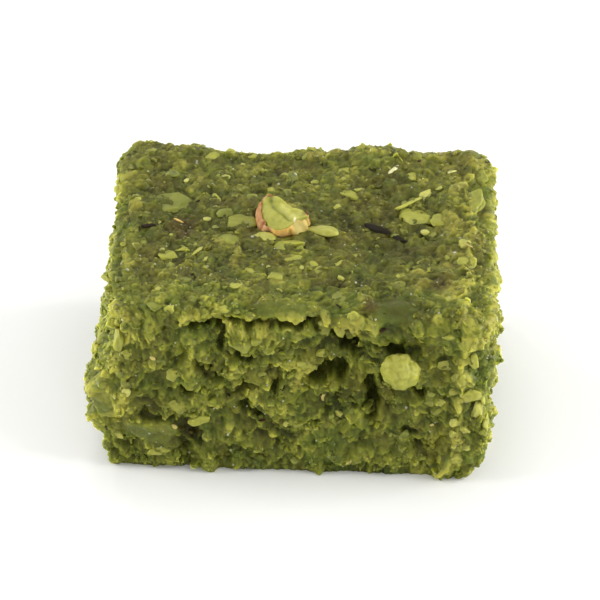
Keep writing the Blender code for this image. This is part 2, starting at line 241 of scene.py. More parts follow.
# The kernel slice: the middle of its underside, its tip in degrees, its thickness, and its face's outline
# as (angle, reach): a round back, a long straight cut to the pointed end, and a nick at the front right.
KERNEL_AT = (-1.28, 0.62, 17.75)
KERNEL_TIP = (19.0, -13.0, 0.0)
KERNEL_THICKNESS = 1.8
KERNEL_OUTLINE = (
    (15, 1.06), (59, 1.02), (89, 1.38), (106, 1.97), (119, 2.42), (137, 2.32), (171, 1.83), (209, 1.68),
    (246, 1.97), (277, 1.96), (306, 1.84), (317, 1.62), (330, 2.00), (344, 2.72), (352, 1.90),
)

# Its wall from the underside up, as (share of the reach, share of the thickness), and how far the wall
# flares out at the left and at the front right, and is cut under elsewhere.
KERNEL_WALL = (
    (0.40, 0.0), (0.88, 0.0), (0.93, 0.05), (0.955, 0.25), (0.965, 0.55), (0.975, 0.8), (0.985, 0.92),
    (0.975, 0.97), (0.95, 1.0),
)
FLARE_LEFT, FLARE_FRONT, UNDERCUT = 0.46, 0.56, 0.12

# Its face: the groove where the kernel's halves part, the ridge right of it, and the falls on either side;
# and where the skin on its wall begins above the underside.
GROOVE_WIDTH, GROOVE_DEPTH = 0.22, 0.07
RIDGE_AT, RIDGE_WIDTH, RIDGE_HEIGHT = 0.74, 0.30, 0.10
FALL_RIGHT, FALL_LEFT = 0.16, 0.10
SKIN_BOTTOM = 0.15

# The dent that it lies in: how deep its floor is under the slice, the width of its rim and how ragged that
# is, how much wider it is round the skin's folds, at that many degrees, and the depths under the top where it
# begins and is at its full.
DENT_CLEARANCE, DENT_WIDTH, DENT_RAGGEDNESS = 0.15, 0.3, 0.12
DENT_WIDER, DENT_WIDER_AT = 0.30, 165.0
DENT_WITHIN = (4.0, 2.5)

# Chopped nut that is large enough to be placed one by one: (place, radii along, across and out, turn in
# degrees, shade from deep green to cream, roughness, how much of it is sunk), and how flat its crown is.
CHUNK_CROWN = 0.72
CHUNKS = (
    ((1.8, -0.7, TOP), (1.59, 0.68, 0.50), -8, 0.56, 0.14, 0.30),
    ((-2.9, -1.9, TOP), (1.24, 0.71, 0.50), -24, 0.56, 0.30, 0.30),
    ((-0.4, -2.8, TOP), (1.12, 0.53, 0.40), -6, 0.40, 0.25, 0.45),
    ((-5.6, 0.3, TOP), (1.45, 1.36, 0.66), 20, 0.28, 0.40, 0.42),
    ((-6.2, -2.6, TOP), (1.36, 1.10, 0.78), 5, 0.20, 0.20, 0.30),
    ((-11.6, 3.3, TOP), (2.05, 1.60, 0.50), 34, 0.12, 0.15, 0.55),
    ((-8.0, 4.3, TOP), (0.65, 0.77, 0.40), 0, 0.40, 0.25, 0.50),
    ((-8.4, 0.7, TOP), (0.42, 0.31, 0.30), 30, 0.66, 0.20, 0.35),
    ((-7.3, 7.8, TOP), (0.40, 0.26, 0.28), 0, 0.62, 0.20, 0.40),
    ((-10.7, 6.8, TOP), (0.33, 0.29, 0.28), 20, 0.80, 0.20, 0.35),
    ((-8.8, 11.2, TOP), (1.00, 0.71, 0.50), 0, 0.42, 0.25, 0.40),
    ((-1.9, 8.7, TOP), (0.59, 0.65, 0.40), 40, 0.38, 0.20, 0.50),
    ((-3.1, 6.2, TOP), (0.50, 0.42, 0.34), 0, 0.42, 0.20, 0.50),
    ((0.9, 7.8, TOP), (0.42, 0.38, 0.32), 0, 0.42, 0.20, 0.45),
    ((-8.8, -4.3, TOP), (1.00, 0.26, 0.28), 50, 0.55, 0.20, 0.35),
    ((-11.6, -4.9, TOP), (0.94, 0.83, 0.42), 0, 0.38, 0.25, 0.40),
    ((-10.3, -3.9, TOP), (0.71, 0.59, 0.40), 30, 0.44, 0.25, 0.50),
    ((-8.1, -5.8, TOP), (0.33, 0.31, 0.26), 0, 0.58, 0.20, 0.40),
    ((-5.0, -9.6, TOP), (0.80, 0.50, 0.40), 35, 0.50, 0.20, 0.45),
    ((-4.0, -7.1, TOP), (0.92, 0.61, 0.42), -50, 0.46, 0.20, 0.50),
    ((-0.2, -5.1, TOP), (0.94, 0.68, 0.42), -15, 0.40, 0.20, 0.50),
    ((1.4, -5.9, TOP), (0.83, 0.57, 0.40), 25, 0.42, 0.25, 0.50),
    ((0.5, -6.6, TOP), (0.29, 0.26, 0.24), 0, 0.62, 0.20, 0.40),
    ((-1.6, -7.9, TOP), (0.83, 0.59, 0.38), 10, 0.36, 0.20, 0.40),
    ((-16.5, -7.0, 18.8), (0.83, 0.77, 0.48), 0, 0.44, 0.25, 0.45),
    ((-6.0, -12.6, 18.9), (0.73, 0.59, 0.40), 0, 0.40, 0.25, 0.50),
    ((3.5, 9.4, TOP), (0.94, 0.77, 0.42), 35, 0.38, 0.20, 0.50),
    ((4.3, 5.6, TOP), (1.12, 0.68, 0.40), -20, 0.38, 0.20, 0.40),
    ((3.2, 3.5, TOP), (0.50, 0.29, 0.28), 40, 0.50, 0.20, 0.40),
    ((5.0, 6.3, TOP), (0.50, 0.31, 0.28), 20, 0.48, 0.20, 0.40),
    ((7.9, 9.2, TOP), (1.00, 0.24, 0.26), 65, 0.90, 0.35, 0.30),
    ((9.8, 8.6, TOP), (0.59, 0.73, 0.40), 0, 0.42, 0.20, 0.45),
    ((10.3, 2.7, TOP), (1.40, 1.45, 0.52), -25, 0.42, 0.30, 0.50),
    ((12.5, 2.0, TOP), (0.77, 0.85, 0.42), 20, 0.34, 0.25, 0.50),
    ((9.9, 4.6, TOP), (1.90, 0.26, 0.28), 43, 0.50, 0.35, 0.25),
    ((11.0, 5.9, TOP), (0.77, 0.42, 0.44), 50, 0.66, 0.20, 0.15),
    ((11.3, 0.2, TOP), (0.45, 0.40, 0.36), 0, 0.66, 0.20, 0.35),
    ((9.3, -7.1, TOP), (0.31, 0.28, 0.26), 0, 0.52, 0.20, 0.40),
    ((3.9, -5.4, TOP), (0.59, 0.21, 0.24), 60, 0.46, 0.20, 0.40),
    ((14.9, -1.7, TOP), (0.80, 0.72, 0.50), 0, 0.58, 0.35, 0.35),
    ((15.3, -4.6, 18.9), (0.80, 1.20, 0.55), 0, 0.44, 0.35, 0.42),
    ((14.4, 7.8, TOP), (0.50, 0.35, 0.34), -30, 0.56, 0.20, 0.40),
    ((13.3, 9.7, TOP), (0.45, 0.24, 0.26), 30, 0.78, 0.25, 0.35),
    ((4.0, -10.5, TOP), (1.77, 1.36, 0.48), 20, 0.18, 0.15, 0.57),
    ((5.5, FRONT, 17.1), (0.62, 0.85, 0.42), 0, 0.34, 0.35, 0.62),
    ((LEFT, -8.6, 11.0), (0.94, 0.73, 0.50), -20, 0.32, 0.20, 0.50),
    ((-10.6, FRONT, 17.4), (0.57, 0.78, 0.42), 10, 0.44, 0.25, 0.45),
    ((-6.2, FRONT, 16.6), (0.83, 0.85, 0.52), 0, 0.40, 0.25, 0.40),
    ((-2.4, FRONT, 16.4), (0.59, 0.71, 0.45), 0, 0.42, 0.20, 0.45),
    ((-4.4, FRONT, 14.4), (1.10, 0.70, 0.50), -8, 0.22, 0.40, 0.72),
    ((-14.5, FRONT, 12.6), (0.53, 0.77, 0.45), 0, 0.36, 0.25, 0.45),
    ((-14.7, FRONT, 9.0), (0.53, 0.45, 0.40), 20, 0.70, 0.30, 0.35),
    ((-10.2, FRONT, 10.6), (0.94, 0.83, 0.50), 0, 0.40, 0.30, 0.45),
    ((-4.7, FRONT, 11.5), (0.71, 0.71, 0.45), 0, 0.42, 0.25, 0.45),
    ((-10.0, FRONT, 7.3), (0.94, 0.73, 0.50), -35, 0.32, 0.25, 0.45),
    ((-8.2, FRONT, 5.8), (1.12, 0.61, 0.50), 28, 0.42, 0.25, 0.40),
    ((-15.6, FRONT, 3.4), (0.59, 0.40, 0.40), -20, 0.52, 0.20, 0.40),
    ((-11.8, FRONT, 2.2), (1.06, 0.45, 0.40), 15, 0.42, 0.25, 0.45),
    ((-2.9, FRONT, 2.4), (0.53, 0.29, 0.32), 20, 0.52, 0.20, 0.40),
    ((1.2, FRONT, 11.8), (1.06, 0.73, 0.55), 10, 0.40, 0.25, 0.45),
    ((4.3, FRONT, 15.4), (0.42, 0.65, 0.42), 10, 0.48, 0.25, 0.40),
    ((2.6, FRONT, 12.9), (0.71, 0.47, 0.40), 20, 0.42, 0.25, 0.45),
    ((13.5, FRONT, 12.5), (0.83, 0.71, 0.48), 0, 0.38, 0.25, 0.45),
    ((14.2, FRONT, 16.1), (0.71, 0.42, 0.42), 0, 0.42, 0.20, 0.45),
    ((16.0, FRONT, 9.6), (0.90, 0.85, 0.70), 0, 0.50, 0.25, 0.05),
    ((16.6, FRONT, 7.6), (0.59, 1.15, 0.65), -12, 0.58, 0.20, 0.05),
    ((14.4, FRONT, 9.6), (0.59, 0.52, 0.42), 30, 0.48, 0.25, 0.40),
    ((13.3, FRONT, 8.4), (0.47, 0.42, 0.38), 0, 0.50, 0.25, 0.40),
    ((14.7, FRONT, 6.4), (0.60, 0.55, 0.50), 0, 0.64, 0.45, 0.15),
    ((15.5, FRONT, 5.5), (0.50, 0.46, 0.46), 0, 0.56, 0.40, 0.20),
    ((14.6, FRONT, 5.1), (0.42, 0.40, 0.40), 0, 0.52, 0.40, 0.20),
    ((15.6, FRONT, 3.8), (0.55, 0.48, 0.45), 0, 0.50, 0.35, 0.30),
    ((14.9, FRONT, 2.4), (0.62, 0.55, 0.46), 0, 0.46, 0.35, 0.30),
    ((15.3, FRONT, 11.6), (0.50, 0.62, 0.44), 15, 0.46, 0.35, 0.30),
    ((16.3, FRONT, 13.2), (0.46, 0.70, 0.44), 0, 0.50, 0.35, 0.30),
    ((8.4, FRONT, 9.6), (0.59, 0.40, 0.36), 10, 0.40, 0.25, 0.45),
    ((4.3, FRONT, 6.4), (0.53, 0.33, 0.36), -30, 0.58, 0.20, 0.40),
    ((-0.3, FRONT, 5.6), (0.47, 0.31, 0.34), 20, 0.52, 0.20, 0.40),
    ((RIGHT, -12.6, 9.2), (0.89, 1.30, 0.52), 8, 0.48, 0.20, 0.45),
    ((RIGHT, -12.4, 6.0), (0.71, 1.00, 0.48), -15, 0.52, 0.20, 0.45),
    ((LEFT, -12.9, 13.8), (1.00, 1.06, 0.80), 0, 0.42, 0.25, 0.25),
    ((RIGHT, 3.2, 10.7), (1.42, 1.06, 0.55), 20, 0.32, 0.25, 0.50),
    ((RIGHT, 8.9, 5.8), (0.94, 0.77, 0.50), -30, 0.42, 0.25, 0.45),
    ((RIGHT, -3.7, 4.1), (0.89, 0.65, 0.48), 35, 0.42, 0.25, 0.45),
    ((LEFT, 4.7, 11.2), (1.30, 0.94, 0.52), -15, 0.30, 0.25, 0.50),
    ((LEFT, -3.2, 5.4), (0.89, 0.71, 0.48), 25, 0.40, 0.25, 0.45),
    ((LEFT, 10.0, 4.9), (0.71, 0.83, 0.48), 0, 0.46, 0.25, 0.45),
    ((-9.5, BACK, 5.8), (1.42, 1.00, 0.55), 15, 0.32, 0.25, 0.50),
    ((2.5, BACK, 11.2), (1.00, 0.83, 0.52), -25, 0.44, 0.25, 0.45),
    ((12.5, BACK, 10.2), (1.65, 1.18, 0.55), 30, 0.22, 0.18, 0.40),
    ((6.0, BACK, 3.9), (0.77, 0.61, 0.48), 0, 0.48, 0.25, 0.45),
    ((15.5, 4.6, TOP), (0.85, 2.40, 0.50), -4, 0.26, 0.40, 0.52),
    ((15.8, 9.6, TOP), (0.80, 1.30, 0.50), 8, 0.22, 0.40, 0.52),
)

# The one lump of pale, packed nut paste in the front: its middle, its radii and how far its grains stand
# out, with the grains as (spacing, share).
LUMP_AT, LUMP_RADII, LUMP_GRAINS = (9.8, -14.35, 12.55), (1.70, 1.3, 1.68), 0.20
LUMP_GRAIN_SIZES = ((0.85, 1.0), (0.40, 0.35))

# Flecks of seed coat that are large enough to be placed: (place, radii, turn, shade from dark to tan).
FLECKS = (
    ((6.9, 0.45, TOP), (1.45, 0.56, 0.20), -26, -0.04),
    ((9.1, -0.5, TOP), (1.15, 0.34, 0.16), -24, -0.08),
    ((-11.0, 0.2, TOP), (0.60, 0.12, 0.09), -35, 0.90),
    ((-13.6, -0.9, TOP), (0.75, 0.26, 0.11), 15, 0.0),
    ((-12.2, FRONT, 12.7), (0.34, 0.22, 0.14), -40, 1.35),
    ((-10.4, FRONT, 4.9), (0.30, 0.18, 0.12), -50, 1.35),
    ((12.6, FRONT, 5.9), (0.26, 0.16, 0.12), 20, 1.35),
    ((8.2, -13.8, 18.9), (0.40, 0.24, 0.12), 60, 0.02),
    ((RIGHT, 6.3, 9.3), (0.60, 0.30, 0.16), 30, 0.30),
    ((LEFT, 1.1, 8.8), (0.60, 0.26, 0.16), -20, 0.40),
    ((-2.0, BACK, 8.8), (0.70, 0.30, 0.16), 15, 0.15),
)

# Spots where the paste's tint is raised or lowered, partly its own paler or deeper green and partly painted
# light and painted shade: (centre, radius, change of tint); and the painted light along the top's right edge,
# on the right side and on the lip's front.
RIGHT_RIM_PAINTED_LIGHT, RIGHT_RIM_FROM = 0.10, (11.0, 16.0)
RIGHT_SIDE_PAINTED_LIGHT, RIGHT_SIDE_FROM = 0.04, (17.6, 18.8)
LIP_PAINTED_LIGHT = 0.36
TINT_AND_LIGHT_SPOTS = (
    ((12.5, 6.0, TOP), 4.5, -0.16),
    ((8.1, 8.5, TOP), 3.0, -0.12),
    ((-13.6, 1.2, TOP), 3.4, -0.42),
    ((3.4, 2.6, TOP), 3.0, -0.20),
    ((-8.6, -0.6, TOP), 1.9, -0.24),
    ((-9.4, -7.6, TOP), 1.9, -0.26),
    ((-13.0, -7.8, TOP), 2.2, 0.12),
    ((8.4, -2.6, TOP), 2.8, -0.62),
    ((-8.6, FRONT, 17.6), 2.5, 0.07),
    ((-3.5, FRONT, 17.9), 2.5, 0.09),
    ((6.4, FRONT, 17.9), 2.2, 0.36),
    ((10.8, -14.5, 18.5), 2.8, -0.72),
    ((15.5, -14.5, 18.7), 2.0, -0.16),
    ((-14.6, FRONT, 17.8), 2.4, -0.20),
    ((-13.5, FRONT, 12.0), 4.0, 0.07),
    ((-8.7, FRONT, 13.9), 2.4, 0.12),
    ((1.5, FRONT, 13.6), 2.6, 0.30),
    ((6.4, FRONT, 14.4), 2.0, 0.10),
    ((-8.7, FRONT, 9.7), 2.2, -0.06),
    ((1.5, FRONT, 9.8), 2.6, 0.14),
    ((11.1, FRONT, 10.0), 2.4, -0.24),
    ((15.0, FRONT, 9.5), 2.2, 0.22),
    ((-3.6, FRONT, 5.4), 2.8, 0.09),
    ((1.5, FRONT, 5.0), 2.6, 0.16),
    ((6.5, FRONT, 5.9), 2.4, -0.06),
    ((15.3, FRONT, 5.0), 2.2, 0.20),
)

# Where much seed coat was ground into the paste: (centre, radius, amount), and how much shows all over the
# top, up to its front lip.
TOP_BROWN, TOP_BROWN_FROM = 0.44, (-13.0, -9.5)
BROWN_RAGGEDNESS, BROWN_SPACING = 0.4, 1.2
BROWN_SPOTS = (
    ((-12.6, -1.2, TOP), 2.6, 0.9),
    ((-15.0, 6.0, TOP), 1.8, 0.5),
    ((-6.2, -6.6, TOP), 1.8, 0.5),
    ((5.4, 8.0, TOP), 2.6, 0.5),
    ((14.2, -8.8, TOP), 1.9, 0.95),
    ((12.0, -6.8, TOP), 1.6, 0.5),
    ((7.8, -13.4, TOP), 1.5, 0.8),
    ((8.3, -2.8, TOP), 2.4, 0.5),
    ((10.4, -13.8, TOP), 2.2, 0.5),
    ((-9.7, FRONT, 4.6), 1.5, 0.9),
    ((-8.4, FRONT, 11.9), 1.2, 0.6),
    ((9.6, FRONT, 10.2), 1.2, 0.5),
    ((12.4, FRONT, 6.0), 1.2, 0.5),
    ((17.0, BACK, 7.8), 3.0, 0.6),
    ((LEFT, -7.4, 10.7), 2.6, 0.5),
    ((RIGHT, 8.4, 11.7), 2.6, 0.5),
)


# The studio: how far the floor reaches, in metres, how far it lies under the block, in millimetres, so that
# the two faces stay apart, and the place in metres that the camera and the lights aim at.
FLOOR_REACH, FLOOR_DROP, AIM = 4.0, 0.02, (0.0, 0.0, 0.0098)


# ---- Numbers that vary smoothly or crumb by crumb through space ------------------------------------

def cell_random(cells, salt):
    """A repeatable number from 0 to 1 for each whole-number cell."""
    cells = cells.astype(np.int64)
    mixed = cells[..., 0] * 73856093 ^ cells[..., 1] * 19349663 ^ cells[..., 2] * 83492791 ^ salt * 40503
    mixed = (mixed ^ (mixed >> 13)) * 1274126177 & 0x7FFFFFFF
    return ((mixed ^ (mixed >> 16)) & 0xFFFF) / 65535.0


def corner_offsets(low, high):
    """Every whole-number step from low to high along the three axes."""
    steps = np.arange(low, high + 1)
    return np.stack(np.meshgrid(steps, steps, steps, indexing="ij"), axis=-1).reshape(-1, 3)


def smooth_noise(points, spacing, salt):
    """From -1 to 1: random values on a lattice of that spacing, blended smoothly between its corners."""
    places = points / spacing
    base = np.floor(places)
    blend = places - base
    blend = blend * blend * (3.0 - 2.0 * blend)
    total = np.zeros(len(points))
    for offset in corner_offsets(0, 1):
        weight = np.where(offset, blend, 1.0 - blend).prod(axis=1)
        total += weight * cell_random(base + offset, salt)
    return 2.0 * total - 1.0


def noise_vector(points, spacing, salt):
    """Three smooth noises as a vector."""
    return np.stack([smooth_noise(points, spacing, salt + axis) for axis in range(3)], axis=1)


def wandered(points, wanders):
    """The points, each shifted by the sum of shift x noise vector over the wanders (shift, spacing, salt)."""
    moved = points.copy()
    for shift, spacing, salt in wanders:
        moved += shift * noise_vector(points, spacing, salt)
    return moved


def cell_vector(cells, salt):
    """Three repeatable numbers from 0 to 1 for each cell."""
    return np.stack([cell_random(cells, salt + axis) for axis in range(3)], axis=1)


def to_nearest_lump(points, spacing, salt):
    """Each point's distance, in cells, to the nearest lump's middle, with one middle in each cell."""
    places = points / spacing
    base = np.floor(places)
    nearest = np.full(len(points), np.inf)
    for offset in corner_offsets(-1, 1):
        cell = base + offset
        centre = cell + cell_vector(cell, salt)
        nearest = np.minimum(nearest, np.linalg.norm(places - centre, axis=1))
    return nearest


def facets(points, spacing, salt):
    """Broken facets: each cell's centre has its own height and its own tilted plane. A point takes the
    mean of the planes near it, weighted by exp(-sharpness x distance), so that it lies on its nearest
    centre's plane and steps to the next one within a tenth of a cell. Returns the mean height, the mean
    rise of the tilted planes, the distance to the nearest centre, the seam distance (second nearest -
    nearest) and the nearest centre's own number."""
    places = points / spacing
    base = np.floor(places)
    nearest = np.full(len(points), np.inf)
    second, own = nearest.copy(), np.zeros(len(points))
    total, height, tilt = (np.zeros(len(points)) for _ in range(3))
    for offset in corner_offsets(-1, 1):
        cell = base + offset
        away = places - cell - cell_vector(cell, salt)
        slope = 2.0 * cell_vector(cell, salt + 10) - 1.0
        number = cell_random(cell, salt + 7)
        far = np.linalg.norm(away, axis=1)
        weight = np.exp(-FACET_SHARPNESS * far)
        total += weight
        height += weight * (number - 0.5)
        tilt += weight * (away * slope).sum(axis=1)
        closer = far < nearest
        second = np.where(closer, nearest, np.minimum(second, far))
        own = np.where(closer, number, own)
        nearest = np.where(closer, far, nearest)
    return height / total, tilt / total, nearest, second - nearest, own


def smooth_step(value, low, high):
    """0 below low, 1 above high, and a smooth rise between."""
    share = np.clip((value - low) / (high - low), 0.0, 1.0)
    return share * share * (3.0 - 2.0 * share)


def between(value, rise, fall):
    """A rise from 0 to 1 over the first range, and a fall back to 0 over the second."""
    return smooth_step(value, *rise) * (1.0 - smooth_step(value, *fall))


def facing_up(normals):
    """From 0 to 1: how far each normal points up."""
    return smooth_step(normals[:, 2], 0.3, 0.9)


def soft_spots(points, spots):
    """The sum of amount x exp(-(distance / radius) squared) over the spots (centre, radius, amount)."""
    total = np.zeros(len(points))
    for centre, radius, amount in spots:
        far = np.linalg.norm(points - centre, axis=1) / radius
        total += amount * np.exp(-far * far)
    return total


def distance_to_route(points, route):
    """Each point's distance to the nearest place on a route of straight stretches."""
    route = np.array(route)
    found = np.full(len(points), np.inf)
    for start, end in zip(route[:-1], route[1:]):
        stretch = end - start
        share = np.clip((points - start) @ stretch / (stretch @ stretch), 0.0, 1.0)
        found = np.minimum(found, np.linalg.norm(points - start - share[:, None] * stretch, axis=1))
    return found


# ---- The paste block's surface ---------------------------------------------------------------------

def box_lattice(size):
    """The plain box as one closed net: a grid for the top, rows carried round the sides and in under the
    foot, and one flat face that closes the underside. Returns the points, the quads and that face."""
    counts = [int(round(side / LATTICE_STEP)) for side in size]
    half_x, half_y = size[0] / 2, size[1] / 2
    xs, ys = np.linspace(-half_x, half_x, counts[0] + 1), np.linspace(-half_y, half_y, counts[1] + 1)
    grid_x, grid_y = np.meshgrid(xs, ys, indexing="ij")
    top = np.stack([grid_x.ravel(), grid_y.ravel(), np.full(grid_x.size, size[2])], axis=1)
    index = np.arange(grid_x.size).reshape(grid_x.shape)
    rim = np.concatenate([index[:-1, 0], index[-1, :-1], index[:0:-1, -1], index[0, :0:-1]])
    side_rows = [top[rim] * (1.0, 1.0, level) for level in np.arange(counts[2] - 1, -1, -1) / counts[2]]
    shrink = [1.0 - ring * LATTICE_STEP / np.array((half_x, half_y)) for ring in range(1, BASE_RINGS + 1)]
    base_rows = [top[rim] * (*share, 0.0) for share in shrink]
    rows = side_rows + base_rows
    row_index = np.vstack([rim, len(top) + np.arange(len(rows) * len(rim)).reshape(len(rows), len(rim))])
    quads = np.vstack([grid_quads(index), grid_quads(row_index, wrap=True)])
    return np.vstack([top, *rows]), quads, row_index[-1][::-1]


def grid_quads(index, wrap=False):
    """The quads of a grid of point numbers; wrap joins its last column to its first."""
    right = np.roll(index, -1, axis=1) if wrap else index[:, 1:]
    left = index if wrap else index[:, :-1]
    return np.stack([left[:-1], left[1:], right[1:], right[:-1]], axis=-1).reshape(-1, 4)


def rounded_box(points, size):
    """The box surface with its edges rounded: the point, less its overhang past the inner core, plus an
    elliptical corner, of FOOT_RADII below and EDGE_RADII above. Returns points and outward normals."""
    half = np.array(size) / 2
    centred = points - (0.0, 0.0, half[2])
    share = smooth_step(points[:, 2:], FOOT_RADII_UP_TO, size[2] - EDGE_RADII_WITHIN)
    radii = FOOT_RADII + (EDGE_RADII - FOOT_RADII) * share
    inner = np.clip(centred, radii - half, half - radii)
    normals = (centred - inner) / radii
    normals /= np.linalg.norm(normals, axis=1, keepdims=True)
    return inner + radii * normals + (0.0, 0.0, half[2]), normals


def over_lip(points):
    """From 0 to 1: how far a point lies above the wavy, sloping line that the pressed top's lip ends at."""
    line = LIP_HEIGHT - LIP_SLOPE * points[:, 0] + LIP_WAVE * smooth_noise(points, LIP_WAVE_SPACING, salt=5)
    return smooth_step(points[:, 2], line - LIP_BLEND / 2, line + LIP_BLEND / 2)


def large_form(points, on_top):
    """The push of the large form: a noise + lumps, each (1 - distance to its middle), + lip + the single
    swells - the wide cracks, each depth x exp(-(distance / half width) squared)."""
    push = SWELL_PUSH * smooth_noise(points, SWELL_SPACING, salt=11)
    nearest = to_nearest_lump(points, LUMP_SPACING, salt=23)
    push += LUMP_PUSH * (1.0 - TOP_FLATNESS * on_top) * (np.clip(1.0 - nearest, 0.0, 1.0) - 0.5)
    push += (1.0 - on_top) * LIP_PUSH * over_lip(points)
    push += soft_spots(points, SWELLS)
    for route, half_width, depth in WIDE_CRACKS:
        far = distance_to_route(points, route) / half_width
        push -= depth * np.exp(-far * far)
    return push


def crumb_form(points, pressed):
    """The push of the broken crumbs, and each point's tint: for each level, the crumb's own height + its
    tilted face + its dome - the seam round it, on points that are warped so that the seams run ragged."""
    push, tint = np.zeros(len(points)), np.zeros(len(points))
    for number, (spacing, spread, tilt, dome, seam, left, tint_share) in enumerate(CRUMB_LEVELS):
        salt = 41 + 30 * number
        warped = wandered(points, [(shift * spacing, scale * spacing, salt) for shift, scale in CRUMB_WARPS])
        height, slope, nearest, gap, own = facets(warped, spacing, salt)
        seam_share = np.exp(-(gap / SEAM_WIDTH) ** 2)
        level = spread * height + tilt * slope + dome * (0.6 - nearest * nearest) - seam * seam_share
        push += level * (1.0 + (left - 1.0) * pressed)
        tint += tint_share * own
    pits = smooth_step(smooth_noise(points, PIT_SPACING, salt=131), *PIT_RANGE)
    return push - PIT_DEPTH * pits * (1.0 - 0.5 * pressed), tint


def fringed(points):
    """How far each point stands out as part of a fringe, the sum of height x exp(-(distance / half width)
    squared), and how pale it is painted there, as painted rim light."""
    ragged = wandered(points, FRINGE_WANDERS)
    push, pale = np.zeros(len(points)), np.zeros(len(points))
    for route, half_width, height, painted_rim_light in FRINGES:
        share = np.exp(-(distance_to_route(ragged, route) / half_width) ** 2)
        push += height * share
        pale = np.maximum(pale, painted_rim_light * share)
    return push, pale


def narrow_cracks(points):
    """How deep each point lies in the narrow cracks: a ragged route's depth, at its full within the half
    width."""
    ragged = wandered(points, CRACK_WANDERS)
    depth_here = np.zeros(len(points))
    for route, half_width, depth in NARROW_CRACKS:
        far = distance_to_route(ragged, route) / half_width
        depth_here = np.maximum(depth_here, depth * (1.0 - smooth_step(far, 0.6, 2.0)))
    return depth_here


def smeared(points):
    """From 0 to 1: how smooth the crumbs were smeared here, in ovals with ragged rims."""
    most = np.zeros(len(points))
    ragged = SMEAR_RAGGEDNESS * smooth_noise(points, SMEAR_SPACING, salt=91)
    for centre, radii in SMEARS:
        far = np.linalg.norm((points - centre) / radii, axis=1)
        most = np.maximum(most, 1.0 - smooth_step(far + ragged, 0.6, 1.1))
    return most


def drawn_in(points):
    """The points with the upper left side, most at the front, both sides' feet and the back of the right
    side drawn in, because those cuts weren't square."""
    x, y, z = points.T
    left = LEAN_LEFT + LEAN_LEFT_CORNER * smooth_step(-y, *LEFT_CORNER_DEPTHS)
    left = left * smooth_step(z, *LEAN_LEFT_HEIGHTS)
    left = left + LEAN_LEFT_FOOT * (1.0 - smooth_step(z, *LEFT_FOOT_HEIGHTS))
    right = LEAN_RIGHT * smooth_step(y, *LEAN_RIGHT_DEPTHS)
    right = right + LEAN_RIGHT_FOOT * (1.0 - smooth_step(z, *RIGHT_FOOT_HEIGHTS))
    inwards = left * smooth_step(-x, 0.0, RIGHT) - right * smooth_step(x, 0.0, RIGHT)
    return points + np.stack([inwards, 0.0 * y, 0.0 * z], axis=1)


def dented(points, size):
    """The points near the top under the kernel slice, sunk to a floor parallel to the slice's underside,
    with a rim that follows the slice's outline."""
    from_middle = points - KERNEL_AT
    tilt_x, tilt_y = np.tan(np.radians(KERNEL_TIP[:2]))
    floor = KERNEL_AT[2] - DENT_CLEARANCE + tilt_x * from_middle[:, 1] - tilt_y * from_middle[:, 0]
    angles = np.arctan2(from_middle[:, 1], from_middle[:, 0])
    outline = kernel_outline(angles) + np.maximum(kernel_flare(angles), 0.0)
    outline += DENT_WIDER * smooth_step(np.cos(angles - np.radians(DENT_WIDER_AT)), 0.2, 0.8)
    past = np.linalg.norm(from_middle[:, :2], axis=1) - outline
    weight = 1.0 - smooth_step(past + DENT_RAGGEDNESS * smooth_noise(points, 0.8, salt=97), 0.0, DENT_WIDTH)
    weight *= smooth_step(points[:, 2], size[2] - DENT_WITHIN[0], size[2] - DENT_WITHIN[1])
    sunk = points.copy()
    sunk[:, 2] += weight * np.minimum(floor - points[:, 2], 0.0)
    return sunk


def fitted(points, size):
    """The points stretched so that their box is exactly size, centred on the origin and standing on it."""
    low, high = points.min(axis=0), points.max(axis=0)
    middle = (low + high) / 2 - (0.0, 0.0, (high[2] - low[2]) / 2)
    return (points - middle) * (np.array(size) / (high - low))


def paste_form(plain, size):
    """The paste's surface from the plain box surface: rounded, tapered to its foot, pushed along its
    normals by the large form and the crumbs, less the cracks, and drooping where crumbs stand out of a
    side. Returns the points and their numbers: tint, relief (0 in the deepest seams, 1 on the crowns),
    smear and brown."""
    points, normals = rounded_box(plain, size)
    on_top = facing_up(normals)
    pressed = np.maximum(on_top, LIP_CALM * over_lip(points))
    crumbs, tint = crumb_form(points, pressed)
    smear = smeared(points)
    crumbs *= 1.0 - SMEAR_CALM * smear
    fringe, pale = fringed(points)
    # The fringes' paleness and the raised tint along the top's right edge, on the right side and on the lip's
    # front are painted light; the tint spots are partly painted light and painted shade.
    tint = tint + pale + RIGHT_RIM_PAINTED_LIGHT * smooth_step(points[:, 0], *RIGHT_RIM_FROM) * on_top
    right_side_light = RIGHT_SIDE_PAINTED_LIGHT * smooth_step(points[:, 0], *RIGHT_SIDE_FROM)
    tint += right_side_light + LIP_PAINTED_LIGHT * over_lip(points) * (1.0 - on_top)
    tint += soft_spots(points, TINT_AND_LIGHT_SPOTS)
    fine = crumbs + fringe - narrow_cracks(points) * (1.0 - SMEAR_CLOSES * smear)
    standing = smooth_step(points[:, 2], 0.0, FLAT_FOOT)
    taper = 1.0 - FOOT_TAPER * (1.0 - smooth_step(points[:, 2], 0.0, FOOT_TAPER_HEIGHT))
    moved = points * np.stack([taper, taper, np.ones(len(points))], axis=1)
    moved = drawn_in(moved + normals * ((large_form(points, on_top) + fine) * standing)[:, None])
    moved[:, 2] -= DROOP * (1.0 - on_top) * crumbs * standing
    moved[plain[:, 2] < 1e-6, 2] = 0.0
    moved[:, 2] = np.maximum(moved[:, 2], 0.0)
    moved = fitted(moved, size - np.array((2.0, 2.0, 1.0)) * SKIN_INSET)
    # The relief later paints the crowns lighter and the seams darker in the colour: painted highlight and
    # painted shade.
    relief = np.clip(RELIEF_LEVEL + RELIEF_GAIN * fine / (1.0 - 0.5 * pressed), 0.0, 1.0)
    brown = np.maximum(browned(points), TOP_BROWN * on_top * smooth_step(points[:, 1], *TOP_BROWN_FROM))
    return dented(moved, size), {"tint": tint, "relief": relief, "smear": smear, "brown": brown}


